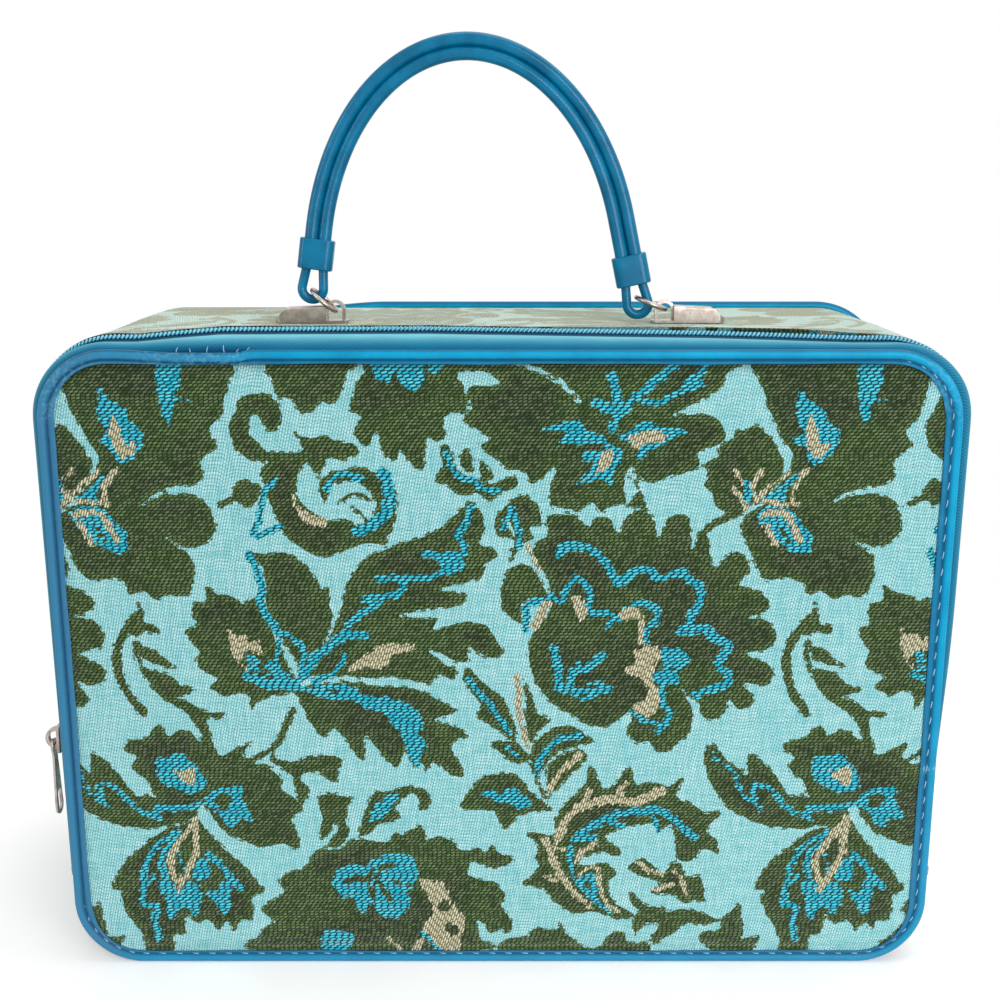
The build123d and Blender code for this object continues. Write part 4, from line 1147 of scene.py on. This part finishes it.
def gusset_cloth():
    """The cloth that runs round the case, raised along the zip and sagging between its edges."""
    outline = case_outline(gusset_step)
    count = len(outline.along)
    height = outline.points[:, 1]
    hinge = np.clip((hinge_top + hinge_blend - height) / hinge_blend, 0, 1)
    start = gusset_zip_edge + (gusset_low.y - gusset_zip_edge) * hinge
    steps = gusset_rows
    share = np.linspace(0, 1, steps)
    y = start[None, :] + (gusset_high.y - start)[None, :] * share[:, None]
    lift_along = np.clip((height - lift_low) / lift_blend, 0, 1) * (1 - hinge)
    top = outline.facing(0, 1)
    from_zip = y - start[None, :]
    to_back = gusset_high.y - y
    sagging = np.interp(outline.points[:, 0], *np.array(sag_shares).T)
    lift = (zip_lift + zip_rise(outline, sagging))[None, :] * np.exp(-from_zip / zip_lift_reach)
    sag = gusset_sag * np.sin(np.pi * share)[:, None]
    sag = sag + back_dip * top[None, :] * np.exp(-to_back / dip_reach)
    wavy = ripple(np.repeat(outline.along[None, :], steps, 0), y, gusset_waves)
    wavy = wavy * np.minimum(from_zip, to_back) / slack_reach
    draw = hinge_draw * hinge * np.abs(outline.outward[:, 0])
    out = np.maximum(lift - sag + wavy, -gusset_slack) * lift_along[None, :]
    out = out - draw[None, :] * np.exp(-from_zip / draw_reach)
    flat = outline.points[None, :, :] + outline.outward[None, :, :] * out[..., None]
    outer = np.stack([flat[..., 0], y, flat[..., 1]], -1).reshape(-1, 3)
    back_share = np.concatenate([np.linspace(0, inside_share, inside_rows), [1.0]])
    inner, back_depth = [], []
    for part in back_share:
        inward = (gusset_high.y - start) * part
        inner.append(lay(outline.offset(cloth_thickness + draw * np.exp(-inward / draw_reach)),
                         start + inward))
        back_depth.append(start - fold_depth - inward)
    base = len(outer)
    backs = len(back_share)
    faces = grid_faces(steps, count, around=True, flip=True)
    faces += grid_faces(backs, count, base, around=True)
    last, back_last = (steps - 1) * count, base + (backs - 1) * count
    for k in range(count):
        after = (k + 1) % count
        faces.append((k, after, base + after, base + k)[::-1])
        faces.append((last + k, back_last + k, back_last + after, last + after)[::-1])
    piece = make_piece("gusset_tapestry", np.concatenate([outer, *inner]), faces, tapestry)
    around = np.tile(outline.along, steps + backs)
    depth = np.concatenate([y.ravel(), *back_depth])
    weave(piece, np.stack([(around - outline.length / 2) * millimetres,
                           depth * millimetres + gusset_thread_rise], 1))
    # painted sheen: the top of the gusset paler away from its fold at the zip; the reverse side inside the
    # hinge is muted
    sheen_shade_and_dull = top[None, :] * ease(from_zip / fold_depth)
    store(piece, "sheen_shade_and_dull", np.concatenate([sheen_shade_and_dull.ravel(), hinge * reverse_fade,
                                          np.full(count * (backs - 1), reverse_fade)]))
    fold = np.exp(-from_zip / fold_shade_reach) * fold_shade * (1 - hinge)[None, :]
    store(piece, "shade", np.concatenate([fold.ravel(), 1 - hinge, np.zeros(count * (backs - 1))]))
    return piece, outline.length


gusset, gusset_length = gusset_cloth()


# Bindings

binding_profile = [
    (0.0074, 0.00085, 1.0), (0.0072, 0.00065, 1.0), (0.0066, 0.00058, 1.0), (0.0058, 0.00060, 1.0),
    (0.0050, 0.00075, 1.0), (0.0046, 0.00110, 0.6), (0.0043, 0.00120, 0.4), (0.0040, 0.00100, 0.2),
    (0.0036, 0.00055, 0.0), (0.0029, 0.00018, 0.0), (0.0020, 0.0, 0.0), (0.0011, 0.00022, 0.0),
    (0.0004, 0.00078, 0.0), (0.0000, 0.0020, 0.0), (0.0006, 0.0034, 0.0), (0.0020, 0.0040, 0.0),
    (0.0034, 0.0034, 0.0), (0.0040, 0.0022, 0.3), (0.0046, 0.0016, 0.8), (0.0072, 0.0015, 1.0),
]
stitch_pitch = 0.0074
stitch_length = 0.0042
stitch_inset = 0.0043
stitch_radius = 0.00027
stitch_slant = 0.16
stitch_sunk = 0.00050


stitch_depth, stitch_dip = 0.00096, 0.0006
stitch_look_ahead = 0.0004
stitch_taper = 0.65
stitch_rings = 6
back_droop, droop_end, droop_blend = 0.0030, -0.058, 0.045
droop_facing = 0.2
tear_start, tear_end = -0.158, -0.100
tear_blend_left, tear_blend_right = 0.03, 0.008
tear_drop = 0.0013
torn_rows = 0.008
thread_end_sunk, thread_end_bow, thread_end_taper = 0.0004, 0.0012, 0.5
dent_depth, dent_reach = 0.00018, 0.0009
groove_shade_reach = 0.0008
face_depth = 0.0015
bead_side, bead_side_shade = 0.0007, 0.8
painted_shade_left, dull_top, dull_low, dull_right = 0.85, 0.6, 0.45, 0.4
dull_top_end, dull_top_blend = -0.085, 0.04
dull_right_top, dull_right_blend = 0.16, 0.12
scratch_height, scratch_reach = 0.094, 0.0016
corner_scuff, corner_inset, corner_reach, corner_height = 0.35, 0.008, 0.012, 0.03
torn_scuff = 0.4
even_scuff = 0.03
binding_step = 0.0018
front_edge_waves = [(60.0, 0, 0.3, 0.00015), (149.0, 0, 1.2, 0.00010)]
back_edge_waves = [(53.0, 0, 1.3, 0.00018), (131.0, 0, 0.2, 0.00010)]


def tear(points):
    """1 where the front binding has come away from the tape, along the left of its top run."""
    x, z = points.T
    span = ease((x - tear_start) / tear_blend_left) * ease((tear_end - x) / tear_blend_right)
    return span * (z > front_high.z - torn_rows)


def front_drop(outline):
    """How far the front binding has been pulled down: only where it has torn."""
    return tear_drop * tear(outline.points)


def back_drop(outline):
    """How far the back binding sags: along the left of its top run."""
    top = np.clip((outline.outward[:, 1] - droop_facing) / facing_blend, 0, 1)
    return back_droop * top * ease((droop_end - outline.points[:, 0]) / droop_blend)


def vinyl_binding(name, outline, face, forward, waves, worn_at, drop):
    """A bead and a flange of one folded strip, dented by its stitches, with a wavy inner edge."""
    along = outline.along
    profile = np.array(binding_profile)
    dent = 0.5 + 0.5 * np.cos(2 * np.pi * along / (outline.length / round(outline.length / stitch_pitch)))
    top, low = outline.facing(0, 1), outline.facing(0, -1)
    sway = ripple(along, along * 0, waves) - flange_trim * top - flange_trim_low * low
    lowered = drop(outline)
    rows = []
    flat_share = np.tile(profile[:, 2], len(along))
    for inset, depth, share in binding_profile:
        inner = share * (inset - stitch_inset) / (binding_width - stitch_inset)
        moved = inset + sway * max(inner, 0) + lowered * (1 - max(inner, 0))
        groove = (dent_depth * dent * math.exp(-((inset - stitch_inset) / dent_reach) ** 2)
                  * (depth < face_depth))
        rows.append(lay(outline.offset(moved), face + forward * (depth + groove)))
    rows = np.stack(rows, 1)
    if forward < 0:
        rows = rows[:, ::-1]
        flat_share = np.tile(profile[::-1, 2], len(along))
    piece = swept(name, rows, binding_vinyl, closed=True)
    store(piece, "flat", flat_share)
    # painted shade in the stitch groove and on the upper side of the top run's bead
    painted_groove_shade = np.exp(-((profile[:, 0] - stitch_inset) / groove_shade_reach) ** 2) * (profile[:, 1] < face_depth)
    outer = bead_side_shade * (profile[:, 0] < bead_side)
    painted_groove_shade = painted_groove_shade[None, :] + top[:, None] * outer[None, :]
    store(piece, "groove", painted_groove_shade[:, ::forward].ravel())
    x, z = outline.points.T
    side = outline.outward[:, 0]
    # painted shade on the left side; duller colour at the bottom, low on the right side and at the top left
    dull = painted_shade_left * np.clip(-side, 0, 1) + dull_low * low
    dull = dull + dull_top * top * ease((dull_top_end - x) / dull_top_blend)
    dull = np.maximum(dull, dull_right * np.clip(side, 0, 1)
                      * ease((dull_right_top - z) / dull_right_blend))
    store(piece, "sheen_shade_and_dull", np.repeat(np.clip(dull, 0, painted_shade_left), len(binding_profile)))
    store(piece, "wear_and_painted_light", np.repeat(worn_at(outline.points), len(binding_profile)))
    return piece


def stitch_run(name, outline, face, forward, torn=()):
    """Pale stitches lying in the groove of a binding, and the torn ends of others above its bead."""
    count = round(outline.length / stitch_pitch)
    ring = ring_turns(tube_sides)
    bits = np.linspace(-0.5, 0.5, stitch_rings)
    points, faces = [], []
    line = outline.offset(stitch_inset)
    for k in range(count):
        centre = (k + 0.5) * outline.length / count
        faces += tube_faces(len(bits), tube_sides, len(points), flip=forward < 0)
        for bit in bits:
            where = (centre + bit * stitch_length) % outline.length
            middle = outline.at(line, where)
            ahead = outline.at(line, (where + stitch_look_ahead) % outline.length) - middle
            ahead /= np.linalg.norm(ahead)
            across = np.array([ahead[1], -ahead[0]])
            middle = middle + across * bit * stitch_length * stitch_slant
            shown = max(across[0], -across[1], 0.0)
            swell = stitch_radius * (1 - (2 * abs(bit)) ** 4 * stitch_taper)
            sink = stitch_depth + stitch_sunk * (1 - shown) + stitch_dip * (2 * abs(bit)) ** 3
            for angle in ring:
                flat = middle + across * math.cos(angle) * swell
                points.append((flat[0], face + forward * (sink - math.sin(angle) * swell), flat[1]))
    for x, lean, length in torn:
        faces += tube_faces(len(bits), tube_sides, len(points))
        for bit in bits + 0.5:
            middle = (x + lean * bit * bit, front_high.z - bead_radius + length * bit)
            thin = stitch_radius * (1 - thread_end_taper * bit)
            depth = 2 * bead_radius - thread_end_sunk - thread_end_bow * math.sin(math.pi * bit)
            points += [(middle[0] + math.cos(angle) * thin, face + depth + math.sin(angle) * thin, middle[1])
                       for angle in ring]
    return make_piece(name, points, faces, stitch_thread)


def front_worn(points):
    """Scuffs along the top left of the front binding, and a scratch low on its right side."""
    x, z = points.T
    scratch = np.exp(-((z - scratch_height) / scratch_reach) ** 2) * (x > 0)
    corner = corner_scuff * np.exp(-((np.abs(x) - front_high.x + corner_inset) / corner_reach) ** 2)
    corner = corner * (z > front_high.z - corner_height)
    return np.clip(torn_scuff * tear(points) + scratch + corner + even_scuff, 0, 1)


def back_worn(points):
    """A faint even wear."""
    return np.full(len(points), even_scuff)


front_line = front_outline(binding_step)
back_line = back_outline(binding_step)
front_binding = vinyl_binding("front_piping", front_line, front_low.y, 1,
                              front_edge_waves, front_worn, front_drop)
back_binding = vinyl_binding("back_piping", back_line, back_high.y, -1,
                             back_edge_waves, back_worn, back_drop)
torn_ends = [(-0.1315, 0.0007, 0.0026), (-0.1255, -0.0006, 0.0022), (-0.1190, 0.0004, 0.0030),
             (-0.1120, -0.0003, 0.0034), (-0.1070, 0.0009, 0.0020), (-0.1030, 0.0012, 0.0026)]
front_stitches = stitch_run("front_stitches", front_line, front_low.y, 1, torn_ends)
back_stitches = stitch_run("back_stitches", back_line, back_high.y, -1)


# Zip

coil_pitch = 0.00175
coil_wire = 0.00042
coil_reach = 0.0009
coil_lift = 0.00072
coil_lean = 0.0005
coil_sunk = 0.0009
coil_squash = 0.9
coil_turn_points = 10
coil_step = 0.0005
ridge_inset = 0.0011
ridge_share, ridge_bow_share = 0.74, 0.7
tape_step, tape_rows = 0.0020, 18
tape_thickness = 0.0008
tape_flare_share = 0.62
tape_bow, tape_bow_top, tape_bow_right, tape_bow_left = 0.0010, 0.0008, 0.0026, 0.0018
roll_low, roll_blend = 0.06, 0.11
tape_clearance = 0.0002
pale_start, pale_blend, right_dull = 0.08, 0.5, 0.45
torn_shade = 0.11
recess_start, recess_blend = 0.68, 0.08
tape_tuck = 0.0065
tape_tuck_in = 0.0020
tape_turn = 0.0035


def lid_tape():
    """The twill tape from the lid's binding to its coil, swelling a little between them."""
    outline = case_outline(tape_step)
    upper = outline.upper(zip_end_height - tape_tuck)
    tucked = ease((zip_end_height - outline.points[upper, 1:]) / tape_turn)
    front = front_outline(tape_step)
    top = outline.facing(0, 1)
    coil_run = outline.offset(zip_tape_inset + ridge_inset * top - zip_rise(outline))[upper]
    right, left = [np.clip(side * outline.outward[upper, :1], 0, 1) for side in (1, -1)]
    right_roll = right * ease((outline.points[upper, 1:] - roll_low) / roll_blend)
    top = top[upper, None]
    share = np.linspace(0, 1, len(upper))
    front_upper = front.upper(zip_end_height - tape_tuck)
    front_run = front.offset(bead_radius * 0.8)[front_upper]
    source = np.linspace(0, 1, len(front_run))
    front_run = np.stack([np.interp(share, source, front_run[:, k]) for k in range(2)], 1)
    front_y, zip_y = front_low.y + 2 * bead_radius + tape_clearance, lid_coil_high.y
    bits = np.linspace(0, 1, tape_rows)
    outer, inner = [], []
    for bit in bits:
        way = min(bit / tape_flare_share, 1.0)
        bow = tape_bow + tape_bow_top * top + tape_bow_right * right_roll + tape_bow_left * left
        bow = bow * math.sin(math.pi * way)
        bow = bow + ridge_inset * ridge_bow_share * top * max(bit - ridge_share, 0.0) / (1 - ridge_share)
        bow = bow * (1 - tucked) - tape_tuck_in * tucked
        flat = front_run + (coil_run - front_run) * way + outline.outward[upper] * bow
        y = front_y + (zip_y - front_y) * bit
        outer.append(lay(flat, y))
        inner.append(lay(flat - outline.outward[upper] * tape_thickness, y))
    rows = np.stack(outer + inner[::-1], 1)
    piece = swept("lid_zip_tape", rows, zip_twill, closed=False)
    sides = len(bits) * 2
    across = np.concatenate([bits, bits[::-1]]) * (zip_y - front_y)
    u = np.repeat(outline.along[upper], sides)
    v = np.tile(across, len(upper))
    store(piece, "thread", np.stack([u * millimetres, v * millimetres, v * 0], 1))
    bits = np.concatenate([bits, bits[::-1]])
    # the tape paler towards its ridge: partly wear, partly a painted highlight, with painted shade towards
    # the seam
    ridge_light_and_wear = ease((bits - pale_start) / pale_blend)[None, :] * (1 - right_dull * right)
    store(piece, "wear_and_painted_light", ridge_light_and_wear.ravel())
    # painted shade: dark in the torn gap and in the valley under the coil
    torn = tear(outline.points[upper])[:, None] * np.exp(-(bits / torn_shade) ** 2)[None, :]
    store(piece, "recess_shade", np.maximum(torn, ease((bits - recess_start) / recess_blend)[None, :]).ravel())
    return piece


def coil_turns(name, low_y, high_y, towards, start):
    """One side of the zip: slanted turns of wire whose heads reach in between the other side's."""
    outline = case_outline(coil_step)
    line = outline.offset(coil_sunk - zip_rise(outline))
    upper = outline.upper(zip_end_height + coil_wire)
    first, last = outline.along[upper[0]], outline.along[upper[-1]]
    root = low_y if towards > 0 else high_y
    head = (high_y if towards > 0 else low_y) + towards * coil_reach
    middle_y, half_y = (root + head) / 2, abs(head - root) / 2 - coil_wire
    points, faces, painted_turn_light = [], [], []
    for along in np.arange(first + start * coil_pitch, last, coil_pitch):
        faces += grid_faces(coil_turn_points, tube_sides, len(points), around=True, joined=True)
        centre, normal = outline.at(line, along), outline.at(outline.outward, along)
        normal /= np.linalg.norm(normal)
        ahead = np.array([-normal[1], normal[0]])
        for angle in ring_turns(coil_turn_points):
            turn_y = middle_y + half_y * math.cos(angle)
            lift = coil_lift * math.sin(angle)
            spine = centre + normal * lift - ahead * coil_lean * math.sin(angle)
            for turn in ring_turns(tube_sides):
                out = coil_wire * math.cos(turn)
                flat = (spine + normal * math.sin(angle) * out
                        + ahead * coil_wire * coil_squash * math.sin(turn))
                points.append((flat[0], turn_y + math.cos(angle) * out, flat[1]))
                # how high each point sits on its turn, for the painted highlight and shade
                painted_turn_light.append(min(max((lift + coil_lift + math.sin(angle) * out) / (2 * coil_lift), 0), 1))
    piece = make_piece(name, points, faces, coil_nylon)
    store(piece, "rise", painted_turn_light)
    return piece


lid_zip_tape = lid_tape()
lid_coil = coil_turns("lid_coil_turns", lid_coil_low.y, lid_coil_high.y, 1, 0.25)
case_coil = coil_turns("case_coil_turns", case_coil_low.y, case_coil_high.y, -1, 0.75)

# Finishes of the solids that stay

finishes = {
    worn_nickel: ["zip_stops_case", "zip_stops_lid", "zip_slider", "zip_pull", "handle_mount_left",
                  "handle_mount_right", "ring_left", "ring_right", "backing_plate_left",
                  "backing_plate_right", "mount_rivets"],
    lining_cloth: ["case_lining", "lid_lining"],
    fibreboard: ["gusset_board", "back_board", "front_board"],
    handle_vinyl: ["handle_cord", "keeper_left", "keeper_right"],
    case_twill: ["zip_tape_case"],
}
for finish, names in finishes.items():
    for name in names:
        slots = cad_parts[name].data.materials
        slots.clear()
        slots.append(finish)

# Which body carries each piece, and which solids it stands for
carried = [
    (front_panel, "lid", ["front_panel"], "tapestry"),
    (front_binding, "lid", ["front_binding"], "binding_vinyl"),
    (front_stitches, "lid", [], "binding_vinyl"),
    (lid_zip_tape, "lid", ["zip_tape_lid"], "zip_tape"),
    (lid_coil, "lid", ["zip_coil_lid"], "zip_coil"),
    (back_panel, "case", ["back_panel"], "tapestry"),
    (back_binding, "case", ["back_binding"], "binding_vinyl"),
    (back_stitches, "case", [], "binding_vinyl"),
    (gusset, "case", ["gusset"], "tapestry"),
    (case_coil, "case", ["zip_coil_case"], "zip_coil"),
]
for piece, body, nodes, slot in carried:
    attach(piece, body)
    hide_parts(*nodes)

# Floor, light and camera


def seen_white(shader):
    """1 for rays from the camera, a mirror or glass, and 0 for the rest."""
    rays = [shader.node("ShaderNodeLightPath", output=name)
            for name in ("Is Camera Ray", "Is Glossy Ray", "Is Transmission Ray")]
    return rays[0].most(rays[1]).most(rays[2])


floor_glow = 0.22
floor_half = 6.0
floor_fade = (0.2, 0.62)
world_light = 0.5
aim = (0.0, 0.0, 0.15)
lamps = [
    ("front_window", (0.8, -1.6, 0.6), (1.2, 1.2), 25.0),
    ("top_window", (0.4, 0.3, 1.8), (1.6, 1.6), 14.0),
    ("left_strip", (-1.5, -0.7, 0.7), (0.35, 1.3), 6.0),
]


def floor_sheet():
    """A pale floor that takes the shadow."""
    material, shader, principled = new_material("pale_floor")
    corners = [(x * floor_half, y * floor_half, 0) for x, y in ((-1, -1), (1, -1), (1, 1), (-1, 1))]
    floor = make_piece("floor", corners, [(0, 1, 2, 3)], material, smooth=False)
    spot = place(shader)
    glow = mix(seen_white(shader), (0.0, 0.0, 0.0, 1.0), (floor_glow, floor_glow, floor_glow, 1.0))
    tint = mix(noise(spot, 3.0, 2.0), srgb(250, 249, 248), srgb(254, 253, 252))
    far = spot.node("ShaderNodeVectorMath", {"operation": "LENGTH"}, {0: spot}, output="Value")
    finish_material(shader, principled, tint, 0.9, Specular_IOR_Level=0.1, Alpha=1.0 - far.step(*floor_fade),
                    Emission_Color=glow, Emission_Strength=1.0)


def soft_light(name, spot, size, power):
    """A large lamp aimed at the middle of the case."""
    data = bpy.data.lights.new(name, "AREA")
    data.shape = "RECTANGLE"
    data.size, data.size_y = size
    data.energy = power
    lamp = bpy.data.objects.new(name, data)
    lamp.location = spot
    lamp.rotation_euler = (Vector(aim) - Vector(spot)).to_track_quat("-Z", "Y").to_euler()
    bpy.context.scene.collection.objects.link(lamp)


def studio():
    """White surround, a front, a top and a left light, and the solved camera."""
    scene = bpy.context.scene
    scene.view_settings.view_transform = "Standard"
    world = bpy.data.worlds.new("white_studio")
    scene.world = world
    world.use_nodes = True
    shader = Signal(world.node_tree)
    strength = seen_white(shader) * (1.0 - world_light) + world_light
    background = world.node_tree.nodes["Background"]
    background.inputs["Color"].default_value = (1.0, 1.0, 1.0, 1.0)
    world.node_tree.links.new(strength.socket, background.inputs["Strength"])
    floor_sheet()
    for lamp in lamps:
        soft_light(*lamp)
    data = bpy.data.cameras.new("photo_camera")
    data.sensor_width = sensor_width
    data.lens = camera_focal_px / photo_px * sensor_width
    camera = bpy.data.objects.new("photo_camera", data)
    camera.location = camera_place
    camera.rotation_euler = (math.pi / 2 - camera_pitch, 0.0, 0.0)
    scene.collection.objects.link(camera)
    scene.camera = camera


studio()
